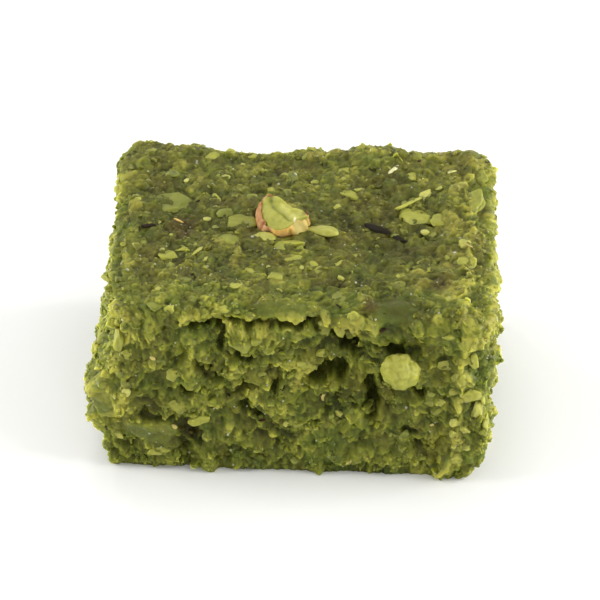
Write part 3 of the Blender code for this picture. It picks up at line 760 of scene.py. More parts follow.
def browned(points):
    """From 0 to 1: how much brown seed coat was ground in here, as soft spots with ragged edges."""
    most = np.zeros(len(points))
    ragged = BROWN_RAGGEDNESS * smooth_noise(points, BROWN_SPACING, salt=95)
    for centre, radius, amount in BROWN_SPOTS:
        far = np.linalg.norm(points - centre, axis=1) / radius + ragged
        most = np.maximum(most, amount * (1.0 - smooth_step(far, 0.3, 1.2)))
    return most


# ---- Chopped and crumbled pieces -------------------------------------------------------------------

def ball_net(rings, sides):
    """Directions on a ball, in rings between two poles, with every other ring turned by half a step, and
    the triangles that close it."""
    polar = np.pi * np.arange(1, rings + 1) / (rings + 1)
    turn = 2.0 * np.pi * (np.arange(sides)[None] + 0.5 * (np.arange(rings)[:, None] % 2)) / sides
    ring_points = np.stack(
        [np.sin(polar)[:, None] * np.cos(turn), np.sin(polar)[:, None] * np.sin(turn),
         np.broadcast_to(np.cos(polar)[:, None], turn.shape)], axis=-1).reshape(-1, 3)
    directions = np.vstack([(0.0, 0.0, 1.0), ring_points, (0.0, 0.0, -1.0)])
    index = 1 + np.arange(rings * sides).reshape(rings, sides)
    after = np.roll(index, -1, axis=1)
    last = len(directions) - 1
    first_cap = np.stack([np.zeros(sides, int), index[0], after[0]], axis=1)
    last_cap = np.stack([np.full(sides, last), after[-1], index[-1]], axis=1)
    lower = np.stack([index[:-1], index[1:], after[:-1]], axis=-1).reshape(-1, 3)
    upper = np.stack([after[:-1], index[1:], after[1:]], axis=-1).reshape(-1, 3)
    return directions, np.vstack([first_cap, lower, upper, last_cap])


def rough_pieces(rng, count, net, roughness, cuts, cut_depth=(0.35, 0.8)):
    """Rough pieces of about unit radius: each a ball whose radius follows its own smooth noise, then cut
    flat by a few random planes, as a knife leaves chopped nut. The result is (piece, point, axis)."""
    directions = net[0]
    offsets = rng.random((count, 1, 3)) * 200.0
    places = (directions * 1.15 + offsets).reshape(-1, 3)
    radii = 1.0 + roughness * smooth_noise(places, 1.0, salt=3).reshape(count, -1)
    shapes = directions * radii[..., None]
    for _ in range(cuts):
        facing = rng.normal(size=(count, 3))
        facing /= np.linalg.norm(facing, axis=1, keepdims=True)
        reach = rng.uniform(*cut_depth, size=(count, 1))
        over = np.maximum(np.einsum("npa,na->np", shapes, facing) - reach, 0.0)
        shapes = shapes - over[..., None] * facing[:, None]
    return shapes


def laid_on(rng, shapes, sizes, spots, normals, tilt):
    """The shapes scaled by sizes (along two tangents and the normal), turned at random about the normal,
    tilted by up to that many radians, and moved to their spots."""
    count = len(shapes)
    normals = normals + tilt * rng.normal(size=(count, 3))
    normals /= np.linalg.norm(normals, axis=1, keepdims=True)
    tangents = np.cross(normals, rng.normal(size=(count, 3)))
    tangents /= np.linalg.norm(tangents, axis=1, keepdims=True)
    frames = np.stack([tangents, np.cross(normals, tangents), normals], axis=1)
    return spots[:, None] + np.einsum("npa,nab->npb", shapes * sizes[:, None], frames)


def drawn_places(rng, weight, count):
    """The numbers of that many points, drawn with a chance in proportion to their weight."""
    return rng.choice(len(weight), size=count, p=weight / weight.sum())


def drawn_radii(rng, size, spread, stretch, count):
    """Three radii for each piece: size x a log-normal number of that spread x a stretch along each axis."""
    return size * rng.lognormal(0.0, spread, (count, 1)) * rng.uniform(*stretch, (count, 3))


def joined(shapes, triangles):
    """All pieces' points in one list, and their triangles renumbered to match."""
    count, per_piece = shapes.shape[:2]
    numbers = triangles[None] + per_piece * np.arange(count)[:, None, None]
    return shapes.reshape(-1, 3), numbers.reshape(-1, 3)


def set_in_place(shapes, rows, surface):
    """The shapes laid where the rows say: each where most of the surface round its place is lower,
    sunk by its share of its height and turned about the side's outward normal from the side's level
    direction."""
    placed = []
    for shape, (place, radii, turn, sunk) in zip(shapes, rows):
        place, radii = np.array(place), np.array(radii)
        outward = calm_normals(place[None])[0]
        outward = np.where(np.abs(outward) > 0.8, np.sign(outward), 0.0)
        level = np.cross((0.0, 0.0, 1.0), outward) if outward[2] == 0.0 else np.array((1.0, 0.0, 0.0))
        across = np.cross(outward, level)
        angle = np.radians(turn)
        frame_axes = np.array((np.cos(angle) * level + np.sin(angle) * across,
                               np.cos(angle) * across - np.sin(angle) * level, outward))
        away = surface - place
        depth = away @ outward
        aside = (away * away).sum(axis=1) - depth * depth + 100.0 * (np.abs(depth) > 4.0)
        near = depth[np.argpartition(aside, 30)[:30]]
        spot = place + (np.percentile(near, 70.0) - sunk * radii[2]) * outward
        placed.append(shape * radii @ frame_axes + spot)
    return np.array(placed)


def surface_of(name):
    """A made piece's points and normals in millimetres, and its numbers by name."""
    mesh = bpy.data.objects[name].data
    count = len(mesh.vertices)
    points, normals = np.zeros(count * 3), np.zeros(count * 3, np.float32)
    mesh.vertices.foreach_get("co", points)
    mesh.vertex_normals.foreach_get("vector", normals)
    numbers = {label: np.zeros(count, np.float32) for label in ("tint", "relief", "smear", "brown")}
    for label, values in numbers.items():
        mesh.attributes[label].data.foreach_get("value", values)
    return points.reshape(-1, 3) / MM, normals.reshape(-1, 3).astype(float), numbers


def calm_normals(points):
    """The rounded box's own outward normals at these points, without the crumbs' roughness."""
    half = BLOCK_SIZE / 2
    centred = points - (0.0, 0.0, half[2])
    inner = np.clip(centred, 2.0 - half, half - 2.0)
    outward = centred - inner
    return outward / np.maximum(np.linalg.norm(outward, axis=1, keepdims=True), 1e-6)


def open_places(points, kernel_radius, foot):
    """True for the points that are neither within that radius of the kernel slice nor lower than foot."""
    near_top = points[:, 2] > TOP - 3.0
    under_kernel = near_top & (np.linalg.norm(points[:, :2] - KERNEL_AT[:2], axis=1) < kernel_radius)
    return ~under_kernel & (points[:, 2] > foot)


# ---- The kernel slice and its skin -----------------------------------------------------------------

def kernel_outline(angles):
    """The reach of the slice's face at each angle: straight stretches between the outline's corners, which
    are softened by taking the mean over 12 degrees."""
    corners, reach = np.array(KERNEL_OUTLINE).T
    degrees = np.degrees(angles)
    turns = (-6.0, -2.0, 2.0, 6.0)
    return sum(np.interp(degrees + turn, corners, reach, period=360.0) for turn in turns) / len(turns)


def tipped(points):
    """The points turned by the kernel's tip and moved to its place."""
    turn = np.array(Euler(np.radians(KERNEL_TIP)).to_matrix())
    return points @ turn.T + KERNEL_AT


def kernel_flare(angles):
    """How far the slice's wall stands out below its face's edge: well out at the left, where the kernel's
    round back shows, and at the front right, and a little in elsewhere."""
    left = smooth_step(np.cos(angles - np.radians(178.0)), 0.45, 0.95)
    front_right = smooth_step(np.cos(angles - np.radians(311.0)), 0.90, 0.985)
    elsewhere = (1.0 - left) * (1.0 - front_right)
    return FLARE_LEFT * left + FLARE_FRONT * front_right - UNDERCUT * elsewhere


def kernel_groove(points):
    """Each face point's distance to the right of the groove where the kernel's halves part, a shallow
    curve that starts at the back left corner: x = -0.90 + 0.24 s + 0.17 s squared, with s = 1.4 - y."""
    s = 1.4 - points[..., 1]
    return points[..., 0] - (-0.90 + 0.24 * s + 0.17 * s * s)


def kernel_flesh():
    """The cut flesh: the outline carried up a profile (underside, flared wall, rounded rim, face). The
    face is waved, less a groove that ends in its middle, plus a ridge to the groove's right."""
    angles = np.linspace(0.0, 2.0 * np.pi, 120, endpoint=False)
    face = [(share, 1.0) for share in np.linspace(0.92, 0.02, 36)]
    share, rise = np.array((*KERNEL_WALL, *face)).T
    around = np.stack([np.cos(angles), np.sin(angles)], axis=1)
    reach = share[:, None] * kernel_outline(angles)
    reach = reach + (share * smooth_step(1.0 - rise, 0.0, 0.45))[:, None] * kernel_flare(angles)
    flat = reach[..., None] * around[None]
    height = np.broadcast_to(rise[:, None, None] * KERNEL_THICKNESS, flat[..., :1].shape)
    points = np.concatenate([flat, height], axis=2)
    shape = points.shape[:2]
    on_face = smooth_step(rise, 0.5, 1.0)[:, None] * np.ones(shape)
    rough = points.reshape(-1, 3)
    across = kernel_groove(points) + 0.14 * smooth_noise(rough, 0.7, salt=61).reshape(shape)
    ends = smooth_step(points[..., 1], -1.5, -1.0)
    groove = ends * np.exp(-(across / GROOVE_WIDTH) ** 2)
    ridge = np.exp(-((across - RIDGE_AT) / RIDGE_WIDTH) ** 2) * (1.0 - smooth_step(points[..., 1], 0.5, 1.3))
    lift = RIDGE_HEIGHT * ridge - GROOVE_DEPTH * groove
    lift = lift - FALL_RIGHT * smooth_step(across, 1.0, 2.4) - FALL_LEFT * smooth_step(-across, 0.4, 1.4)
    lift += 0.10 * smooth_noise(rough, 0.9, salt=63).reshape(shape)
    lift += 0.05 * smooth_noise(rough, 0.35, salt=64).reshape(shape)
    points[..., 2] += on_face * lift
    dents = 0.08 * smooth_noise(rough, 1.1, salt=65).reshape(shape) * smooth_step(rise, 0.0, 0.3)[:, None]
    points[..., :2] *= (1.0 + dents * share[:, None])[..., None]
    # Pale on the ridge, a painted highlight, and at the cut root near the point, green in the groove, and
    # darker at its start.
    tint = 0.50 - 0.20 * (1.0 - on_face) - 0.32 * groove * on_face + 0.20 * ridge
    root = ((points[..., 0] - 1.18) / 0.10) ** 2 + ((points[..., 1] + 1.16) / 0.20) ** 2
    tint += 0.8 * on_face * np.exp(-root)
    tint -= 0.16 * on_face * np.exp(-((points[..., 0] + 0.9) ** 2 + (points[..., 1] - 1.4) ** 2) / 0.09)
    tint += 0.08 * smooth_step(across, 0.9, 1.8) + 0.10 * smooth_noise(rough, 0.8, salt=66).reshape(shape)
    relief = 1.0 - 0.45 * groove * on_face
    count = len(angles)
    index = np.arange(shape[0] * count).reshape(shape)
    middle = np.append(points[-1, :, :2].mean(axis=0), points[-1, :, 2].mean())
    all_points = tipped(np.vstack([points.reshape(-1, 3), (0.0, 0.0, 0.0), middle]))
    first, last = len(all_points) - 2, len(all_points) - 1
    quads = grid_quads(index, wrap=True)[:, ::-1]
    triangles = np.vstack([quads[:, :3], quads[:, (0, 2, 3)]])
    after = np.roll(np.arange(count), -1)
    under = np.stack([np.full(count, first), after, index[0]], axis=1)
    over = np.stack([np.full(count, last), index[-1], index[-1][after]], axis=1)
    return (all_points, np.vstack([triangles, under, over]), np.append(relief.ravel(), (1.0, 1.0)),
            np.append(tint.ravel(), (0.3, 0.6)))


def kernel_skin():
    """The papery skin on the slice's wall: a thin oval section carried round the arc, with a torn, wavy
    upper edge, thin along the straight cut, thick, folded and standing out at the left, thin again in
    front, and drawn to a point at both ends."""
    degrees = np.linspace(62.0, 360.0, 248)
    turn = np.radians(degrees)
    section = np.linspace(0.0, 2.0 * np.pi, 20, endpoint=False)
    along = np.linspace(0.0, 1.0, len(turn))
    ends = np.sqrt(np.clip(1.0 - (2.0 * along - 1.0) ** 16, 0.003, 1.0))
    arc = np.stack([np.cos(turn), np.sin(turn), np.zeros(len(turn))], axis=1) * 3.0
    at_left = between(degrees, (108.0, 124.0), (212.0, 240.0))
    in_front = between(degrees, (228.0, 250.0), (276.0, 292.0))
    at_point = between(degrees, (334.0, 342.0), (352.0, 359.0))
    torn = 0.16 * smooth_noise(arc, 0.45, salt=71) + 0.12 * smooth_noise(arc, 1.2, salt=72)
    fold = np.exp(-((degrees - 216.0) / 7.0) ** 2)
    top = KERNEL_THICKNESS * (0.96 + 0.05 * at_left + 0.15 * at_point)
    top = top + (0.25 + 0.5 * at_left) * torn - 0.2 * fold
    middle, half = (top + SKIN_BOTTOM) / 2, (top - SKIN_BOTTOM) / 2
    rise = middle[:, None] + (half * ends)[:, None] * np.sin(section)
    down = smooth_step(1.0 - rise / KERNEL_THICKNESS, 0.0, 0.45)
    thick = 0.07 + 0.13 * at_left + 0.09 * at_point + 0.02 * smooth_noise(arc, 0.7, salt=73)
    reach = kernel_outline(turn)[:, None] * 0.985 + 0.07 + 0.05 * at_left[:, None]
    reach = reach + down * kernel_flare(turn)[:, None]
    reach = reach + (thick * ends)[:, None] * np.cos(section)
    rough = np.repeat(arc, len(section), axis=0) + rise.reshape(-1, 1)
    creases = 0.05 * smooth_noise(rough, 0.35, salt=74) + 0.06 * smooth_noise(rough, 0.8, salt=75)
    reach += creases.reshape(rise.shape) + 0.10 * (fold * ends)[:, None] + 0.20 * in_front[:, None] * down
    points = np.stack([reach * np.cos(turn)[:, None], reach * np.sin(turn)[:, None], rise], axis=-1)
    index = np.arange(rise.size).reshape(rise.shape)
    quads = grid_quads(index, wrap=True)
    triangles = np.vstack([quads[:, :3], quads[:, (0, 2, 3)]])
    centres = points[[0, -1]].mean(axis=1)
    first, last = index.size, index.size + 1
    after = np.roll(np.arange(len(section)), -1)
    start_cap = np.stack([np.full(len(section), first), index[0], index[0][after]], axis=1)
    end_cap = np.stack([np.full(len(section), last), index[-1][after], index[-1]], axis=1)
    shade = 0.46 + 0.10 * smooth_noise(arc, 0.8, salt=76) - 0.26 * np.exp(-((degrees - 209.0) / 5.0) ** 2)
    shade += 0.34 * smooth_step(degrees, 226.0, 246.0) + 0.24 * smooth_step(degrees, 296.0, 304.0)
    shade -= 0.90 * smooth_step(degrees, 337.0, 342.0)
    inner = np.clip(-np.cos(section), 0.0, 1.0) * np.clip(np.sin(section) + 0.5, 0.0, 1.0)
    tint = shade[:, None] + 0.10 * smooth_noise(rough, 0.5, salt=77).reshape(rise.shape)
    tint += 0.75 * (at_left * smooth_step(degrees, 190.0, 206.0))[:, None] * inner
    return (tipped(np.vstack([points.reshape(-1, 3), centres])), np.vstack([triangles, start_cap, end_cap]),
            np.append(tint.ravel(), (0.3, 0.2)))


# ---- Meshes and materials --------------------------------------------------------------------------

def make_mesh(name, points, faces, attributes, material, closing_face=None, sharp_from=None):
    """A mesh object from points in millimetres, faces that all have one length, and one more face if
    given. Attributes are numbers for each point; edges sharper than sharp_from degrees stay sharp."""
    mesh = bpy.data.meshes.new(name)
    corners = faces.ravel()
    lengths = np.full(len(faces), faces.shape[1])
    if closing_face is not None:
        corners = np.concatenate([corners, closing_face])
        lengths = np.append(lengths, len(closing_face))
    mesh.vertices.add(len(points))
    mesh.vertices.foreach_set("co", (points * MM).astype(np.float32).ravel())
    mesh.loops.add(len(corners))
    mesh.loops.foreach_set("vertex_index", corners.astype(np.int32))
    mesh.polygons.add(len(lengths))
    mesh.polygons.foreach_set("loop_start", (np.cumsum(lengths) - lengths).astype(np.int32))
    mesh.update(calc_edges=True)
    for label, values in attributes.items():
        layer = mesh.attributes.new(label, "FLOAT", "POINT")
        layer.data.foreach_set("value", np.ascontiguousarray(values, dtype=np.float32))
    mesh.materials.append(material)
    mesh.shade_smooth()
    if sharp_from is not None:
        mesh.set_sharp_from_angle(angle=np.radians(sharp_from))
    made = bpy.data.objects.new(name, mesh)
    bpy.context.scene.collection.objects.link(made)
    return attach(made, "root")


def add_node(tree, kind, settings, inputs, stops=()):
    """Adds a node with its settings; an input is a plain value or another node's output. A ramp also takes
    its stops: (place, colour)."""
    made = tree.nodes.new(kind)
    for name, value in settings.items():
        setattr(made, name, value)
    for number, (place, colour) in enumerate(stops):
        elements = made.color_ramp.elements
        stop = elements[number] if number < len(elements) else elements.new(1.0)
        stop.position, stop.color = place, (*colour, 1.0)
    for name, value in inputs.items():
        if isinstance(value, bpy.types.NodeSocket):
            tree.links.new(value, made.inputs[name])
        else:
            made.inputs[name].default_value = value
    return made


def every(size):
    """The scale of a pattern that repeats every so many millimetres."""
    return 1.0 / (size * MM)


def empty_material(name):
    """A material with only its output, and that output."""
    material = bpy.data.materials.new(name)
    material.use_nodes = True
    material.node_tree.nodes.clear()
    return material, material.node_tree, add_node(material.node_tree, "ShaderNodeOutputMaterial", {}, {})


def ground_pistachio_paste(look):
    """Ground pistachio paste: moist, oily and slightly see-through, so thin crowns glow yellow-green; the
    crowns are painted lighter and the seams between crumbs painted dark, as painted highlight and painted
    shade over moist paste; chopped bits of many greens show, and small wet spots glint."""
    material, tree, output = empty_material("ground_pistachio_paste")
    place = add_node(tree, "ShaderNodeTexCoord", {}, {}).outputs["Object"]
    tint, relief, smear, brown = (
        add_node(tree, "ShaderNodeAttribute", {"attribute_name": label}, {}).outputs["Fac"]
        for label in ("tint", "relief", "smear", "brown"))
    # Grit as fine as the grinding left it, clouds of greener and browner nuts, and cells that a wandering
    # noise shifts by up to half a millimetre, so that they look like chopped bits.
    wander = add_node(tree, "ShaderNodeTexNoise", {}, {"Vector": place, "Scale": every(0.5), "Detail": 3.0})
    shifted = add_node(tree, "ShaderNodeVectorMath", {"operation": "MULTIPLY_ADD"}, {
        0: wander.outputs["Color"], 1: (0.5 * MM,) * 3, 2: place}).outputs["Vector"]
    grit, cloud = (
        add_node(tree, "ShaderNodeTexNoise", {}, {
            "Vector": place, "Scale": every(size), "Detail": 4.0, "Roughness": roughness}).outputs["Fac"]
        for size, roughness in ((0.30, 0.7), (3.2, 0.65)))
    bit_cells = [
        add_node(tree, "ShaderNodeTexVoronoi", {}, {"Vector": shifted, "Scale": every(size)}).outputs["Color"]
        for size in (1.3, 0.5)]
    bits = [
        add_node(tree, "ShaderNodeSeparateColor", {}, {"Color": colour}).outputs["Red"]
        for colour in bit_cells]
    # The relief's share paints the crowns lighter and the seams darker: painted highlight and painted shade.
    mixed = tint
    for part, share in ((grit, 0.32), (cloud, 0.75), (relief, 0.28), (bits[0], 0.27), (bits[1], 0.13)):
        centred = add_node(tree, "ShaderNodeMath", {"operation": "MULTIPLY_ADD"}, {
            0: part, 1: share, 2: -0.5 * share}).outputs[0]
        mixed = add_node(tree, "ShaderNodeMath", {"operation": "ADD"}, {0: mixed, 1: centred}).outputs[0]
    colour = add_node(tree, "ShaderNodeValToRGB", {}, {"Fac": mixed}, (
        (0.12, look.paste_deep), (0.46, look.paste_body), (0.76, look.paste_crown), (1.0, look.paste_pale),
    )).outputs["Color"]
    # Tones over that: greener and more olive clouds, smears, ground-in seed coat, and painted shade over the
    # darker moist paste in the seams.
    ragged = add_node(
        tree, "ShaderNodeMath", {"operation": "MULTIPLY_ADD"}, {0: cloud, 1: 0.8, 2: -0.4}).outputs[0]
    hue_noises = [
        add_node(tree, "ShaderNodeTexNoise", {}, {
            "Vector": shifted, "Scale": every(size), "Detail": 3.0}).outputs["Fac"]
        for size in (2.3, 2.9)]
    hues = [
        add_node(tree, "ShaderNodeMapRange", {}, {
            "Value": noise, "From Min": 0.46, "From Max": 0.66}).outputs["Result"]
        for noise in hue_noises]
    for share, tone, most in ((hues[0], look.paste_green, 0.42), (hues[1], look.paste_olive, 0.36),
                              (smear, look.paste_smear, 0.4), (brown, look.paste_brown, 0.8)):
        uneven = add_node(tree, "ShaderNodeMath", {"operation": "ADD"}, {0: share, 1: ragged}).outputs[0]
        limited = add_node(tree, "ShaderNodeMapRange", {"interpolation_type": "SMOOTHSTEP"}, {
            "Value": uneven, "From Min": 0.15, "From Max": 0.9, "To Max": most}).outputs["Result"]
        colour = add_node(tree, "ShaderNodeMix", {"data_type": "RGBA"}, {
            "Factor": limited, 6: colour, 7: (*tone, 1.0)}).outputs[2]
    seam = add_node(tree, "ShaderNodeMapRange", {"interpolation_type": "SMOOTHSTEP"}, {
        "Value": relief, "From Min": 0.0, "From Max": 0.4, "To Min": 0.7, "To Max": 0.0}).outputs["Result"]
    colour = add_node(tree, "ShaderNodeMix", {"data_type": "RGBA"}, {
        "Factor": seam, 6: colour, 7: (*look.paste_seam, 1.0)}).outputs[2]
    # Oil leaves spots under half a millimetre wide wet and glossy.
    wet = add_node(tree, "ShaderNodeTexNoise", {}, {
        "Vector": place, "Scale": every(0.45), "Detail": 3.0}).outputs["Fac"]
    roughness = add_node(tree, "ShaderNodeMapRange", {"interpolation_type": "SMOOTHSTEP"}, {
        "Value": wet, "From Min": 0.46, "From Max": 0.62, "To Min": 0.48, "To Max": 0.13}).outputs["Result"]
    bump = add_node(tree, "ShaderNodeBump", {}, {"Height": grit, "Strength": 0.4, "Distance": 0.08 * MM})
    shader = add_node(tree, "ShaderNodeBsdfPrincipled", {}, {
        "Base Color": colour, "Roughness": roughness, "Normal": bump.outputs["Normal"], "IOR": 1.40,
        "Specular IOR Level": 0.25, "Specular Tint": (1.0, 1.0, 0.62, 1.0),
        "Subsurface Weight": 1.0, "Subsurface Radius": (0.88, 0.9, 0.30), "Subsurface Scale": 1.1 * MM})
    tree.links.new(shader.outputs["BSDF"], output.inputs["Surface"])
    return material


def cut_pistachio_flesh(look):
    """Cut pistachio flesh: dense, oily and pale green to yellow, each piece its own shade, with a waxy
    glow and a soft gloss."""
    material, tree, output = empty_material("cut_pistachio_flesh")
    place = add_node(tree, "ShaderNodeTexCoord", {}, {}).outputs["Object"]
    tint, relief = (
        add_node(tree, "ShaderNodeAttribute", {"attribute_name": label}, {}).outputs["Fac"]
        for label in ("tint", "relief"))
    grain = add_node(tree, "ShaderNodeTexNoise", {}, {
        "Vector": place, "Scale": every(0.5), "Detail": 4.0, "Roughness": 0.6}).outputs["Fac"]
    share = add_node(tree, "ShaderNodeMath", {"operation": "MULTIPLY_ADD"}, {0: grain, 1: 0.36, 2: -0.18})
    mixed = add_node(tree, "ShaderNodeMath", {"operation": "ADD"}, {0: tint, 1: share.outputs[0]})
    body = add_node(tree, "ShaderNodeValToRGB", {}, {"Fac": mixed.outputs[0]}, (
        (0.0, look.nut_green), (0.45, look.nut_body), (0.8, look.nut_pale), (1.0, look.nut_cream)))
    # Where the relief is low the flesh is mixed toward deep green: painted shade on the lower sides of chunks
    # and of the lump, and the green of the kernel's groove.
    low = add_node(tree, "ShaderNodeMapRange", {}, {
        "Value": relief, "From Min": 0.0, "From Max": 0.6, "To Min": 0.7, "To Max": 0.0})
    colour = add_node(tree, "ShaderNodeMix", {"data_type": "RGBA"}, {
        "Factor": low.outputs["Result"], 6: body.outputs["Color"], 7: (*look.nut_green, 1.0)})
    fine = add_node(tree, "ShaderNodeTexNoise", {}, {
        "Vector": place, "Scale": every(0.2), "Detail": 3.0}).outputs["Fac"]
    bump = add_node(tree, "ShaderNodeBump", {}, {"Height": fine, "Strength": 0.35, "Distance": 0.06 * MM})
    roughness = add_node(tree, "ShaderNodeMapRange", {}, {
        "Value": grain, "From Min": 0.35, "From Max": 0.65, "To Min": 0.32, "To Max": 0.5})
    shader = add_node(tree, "ShaderNodeBsdfPrincipled", {}, {
        "Base Color": colour.outputs[2], "Roughness": roughness.outputs["Result"],
        "Normal": bump.outputs["Normal"], "IOR": 1.47, "Specular IOR Level": 0.3, "Subsurface Weight": 0.75,
        "Subsurface Radius": (1.0, 0.95, 0.35), "Subsurface Scale": 0.9 * MM})
    tree.links.new(shader.outputs["BSDF"], output.inputs["Surface"])
    return material


def papery_pistachio_skin(look):
    """Pistachio seed coat: a thin, dry, papery skin, from dark purple-brown through rose to gold and tan,
    mottled and finely creased, so it shows soft, broken light."""
    material, tree, output = empty_material("papery_pistachio_skin")
    place = add_node(tree, "ShaderNodeTexCoord", {}, {}).outputs["Object"]
    tint = add_node(tree, "ShaderNodeAttribute", {"attribute_name": "tint"}, {}).outputs["Fac"]
    mottle = add_node(tree, "ShaderNodeTexNoise", {}, {
        "Vector": place, "Scale": every(0.4), "Detail": 4.0, "Roughness": 0.65}).outputs["Fac"]
    share = add_node(tree, "ShaderNodeMath", {"operation": "MULTIPLY_ADD"}, {0: mottle, 1: 0.5, 2: -0.25})
    mixed = add_node(tree, "ShaderNodeMath", {"operation": "ADD"}, {0: tint, 1: share.outputs[0]})
    body = add_node(tree, "ShaderNodeValToRGB", {}, {"Fac": mixed.outputs[0]}, (
        (0.0, look.skin_dark), (0.2, look.skin_brown), (0.42, look.skin_rose), (0.6, look.skin_pink),
        (0.8, look.skin_gold), (1.0, look.skin_tan)))
    bump = add_node(tree, "ShaderNodeBump", {}, {"Height": mottle, "Strength": 0.5, "Distance": 0.05 * MM})
    shader = add_node(tree, "ShaderNodeBsdfPrincipled", {}, {
        "Base Color": body.outputs["Color"], "Roughness": 0.5, "Normal": bump.outputs["Normal"],
        "IOR": 1.45, "Specular IOR Level": 0.15, "Subsurface Weight": 0.15,
        "Subsurface Radius": (1.0, 0.6, 0.4), "Subsurface Scale": 0.3 * MM})
    tree.links.new(shader.outputs["BSDF"], output.inputs["Surface"])
    return material


def sugar_crystal_painted_glint(look):
    """Sugar crystals: small, white and half clear with flat shiny sides; their pale colour also stands in for
    glints, as painted highlights that show from every side.
    """
    material, tree, output = empty_material("sugar_crystal_painted_glint")
    place = add_node(tree, "ShaderNodeTexCoord", {}, {}).outputs["Object"]
    frost = add_node(tree, "ShaderNodeTexNoise", {}, {"Vector": place, "Scale": every(0.08)}).outputs["Fac"]
    roughness = add_node(tree, "ShaderNodeMapRange", {}, {
        "Value": frost, "From Min": 0.35, "From Max": 0.65, "To Min": 0.08, "To Max": 0.3}).outputs["Result"]
    shader = add_node(tree, "ShaderNodeBsdfPrincipled", {}, {
        "Base Color": (*look.sugar, 1.0), "Roughness": roughness, "IOR": 1.54, "Transmission Weight": 0.25})
    tree.links.new(shader.outputs["BSDF"], output.inputs["Surface"])
    return material


def matt_white_board(look):
    """Matt white studio board: no gloss and a trace of tooth."""
    material, tree, output = empty_material("matt_white_board")
    place = add_node(tree, "ShaderNodeTexCoord", {}, {}).outputs["Object"]
    tooth = add_node(tree, "ShaderNodeTexNoise", {}, {"Vector": place, "Scale": every(1.5)}).outputs["Fac"]
    bump = add_node(tree, "ShaderNodeBump", {}, {"Height": tooth, "Strength": 0.04, "Distance": 0.05 * MM})
    shader = add_node(tree, "ShaderNodeBsdfPrincipled", {}, {
        "Base Color": (*look.board, 1.0), "Roughness": 0.9, "Specular IOR Level": 0.1,
        "Normal": bump.outputs["Normal"]})
    tree.links.new(shader.outputs["BSDF"], output.inputs["Surface"])
    return material


def made_once(make, look):
    """The material of the same name as the function that makes it, made the first time it is asked for."""
    return bpy.data.materials.get(make.__name__) or make(look)


# ---- Settings --------------------------------------------------------------------------------------

def colour_setting(name, description, code):
    """A colour setting with its default from an sRGB hex value."""
    return FloatVectorProperty(
        name=name, description=description, subtype="COLOR", size=3, min=0.0, max=1.0, default=linear(code))


class BurfiLook(bpy.types.PropertyGroup):
    """Colours of the paste, the nuts, the skins and the board."""

    paste_seam: colour_setting("Paste seams", "Shaded, moist paste deep between crumbs", "#21240a")
    paste_deep: colour_setting("Paste deep", "Darkest ground nut", "#454a17")
    paste_body: colour_setting("Paste body", "Usual ground nut", "#5d6322")
    paste_crown: colour_setting("Paste crowns", "Light crumbs", "#777b2b")
    paste_pale: colour_setting("Paste pale", "Palest crumbs", "#a19e45")
    paste_smear: colour_setting("Paste smears", "Paste pressed smooth", "#626b34")
    paste_green: colour_setting("Paste green", "Paste of the greenest nuts", "#536427")
    paste_olive: colour_setting("Paste olive", "Paste of the brownest nuts", "#655e26")
    paste_brown: colour_setting("Paste brown", "Paste with much skin ground in", "#4b3d20")
    nut_green: colour_setting("Nut green", "Green outer flesh", "#697029")
    nut_body: colour_setting("Nut body", "Usual cut flesh", "#9a9a3c")
    nut_pale: colour_setting("Nut pale", "Pale inner flesh", "#bebb68")
    nut_cream: colour_setting("Nut cream", "Palest flesh", "#e6e2b4")
    skin_dark: colour_setting("Skin dark", "Darkest seed coat", "#1d180a")
    skin_brown: colour_setting("Skin brown", "Red-brown seed coat", "#6b3a26")
    skin_rose: colour_setting("Skin rose", "Rose seed coat", "#a37348")
    skin_pink: colour_setting("Skin pink", "Pale pink seed coat", "#c79d70")
    skin_gold: colour_setting("Skin gold", "Golden seed coat", "#ecbd68")
    skin_tan: colour_setting("Skin tan", "Tan seed coat", "#b8a862")
    # The sugar's pale colour also stands in for glints: painted highlights.
    sugar: colour_setting("Sugar", "Sugar crystals", "#b4b795")
    board: colour_setting("Board", "Studio floor", "#f4f4f2")


class BurfiSizes(bpy.types.PropertyGroup):
    """How many loose pieces there are, and how large."""

    crumb_count: IntProperty(name="Crumbs", description="Fused paste crumbs", default=1100, min=0)
    crumb_size: FloatProperty(
        name="Crumb size", description="Mean crumb radius", default=0.30 * MM, unit="LENGTH", min=0.0)
    grain_count: IntProperty(name="Grains", description="Fine grains of ground nut", default=5200, min=0)
    grain_size: FloatProperty(
        name="Grain size", description="Mean grain radius", default=0.15 * MM, unit="LENGTH", min=0.0)
    chip_count: IntProperty(name="Nut chips", description="Chips of nut set in the paste", default=760, min=0)
    chip_size: FloatProperty(
        name="Chip size", description="Mean chip radius", default=0.27 * MM, unit="LENGTH", min=0.0)
    # The sugar crystals are also pale specks that stand in for glints: painted highlights.
    sugar_count: IntProperty(name="Sugar crystals", description="Glinting crystals", default=460, min=0)
    sugar_size: FloatProperty(
        name="Sugar size", description="Mean crystal radius", default=0.075 * MM, unit="LENGTH", min=0.0)
    fleck_count: IntProperty(name="Skin flecks", description="Flecks of papery skin", default=46, min=0)


class BurfiStudio(bpy.types.PropertyGroup):
    """The camera and the lights."""

    azimuth: FloatProperty(name="Azimuth", description="Camera's turn to the right", default=3.6)
    elevation: FloatProperty(name="Elevation", description="Camera's height angle", default=35.0)
    distance: FloatProperty(name="Distance", description="Camera to block", default=0.52, unit="LENGTH")
    lens: FloatProperty(name="Lens", description="Focal length, millimetres", default=344.0)
    side_power: FloatProperty(name="Side lights", description="Each side softbox, watts", default=1.2)
    top_power: FloatProperty(name="Top light", description="Overhead softbox, watts", default=0.25)
    spark_power: FloatProperty(name="Spark lights", description="Each glint light, watts", default=0.10)
    front_power: FloatProperty(name="Front light", description="Front fill, watts", default=0.5)
    ambient: FloatProperty(name="Ambient", description="Strength of the room's own light", default=0.66)


# ---- Operators -------------------------------------------------------------------------------------

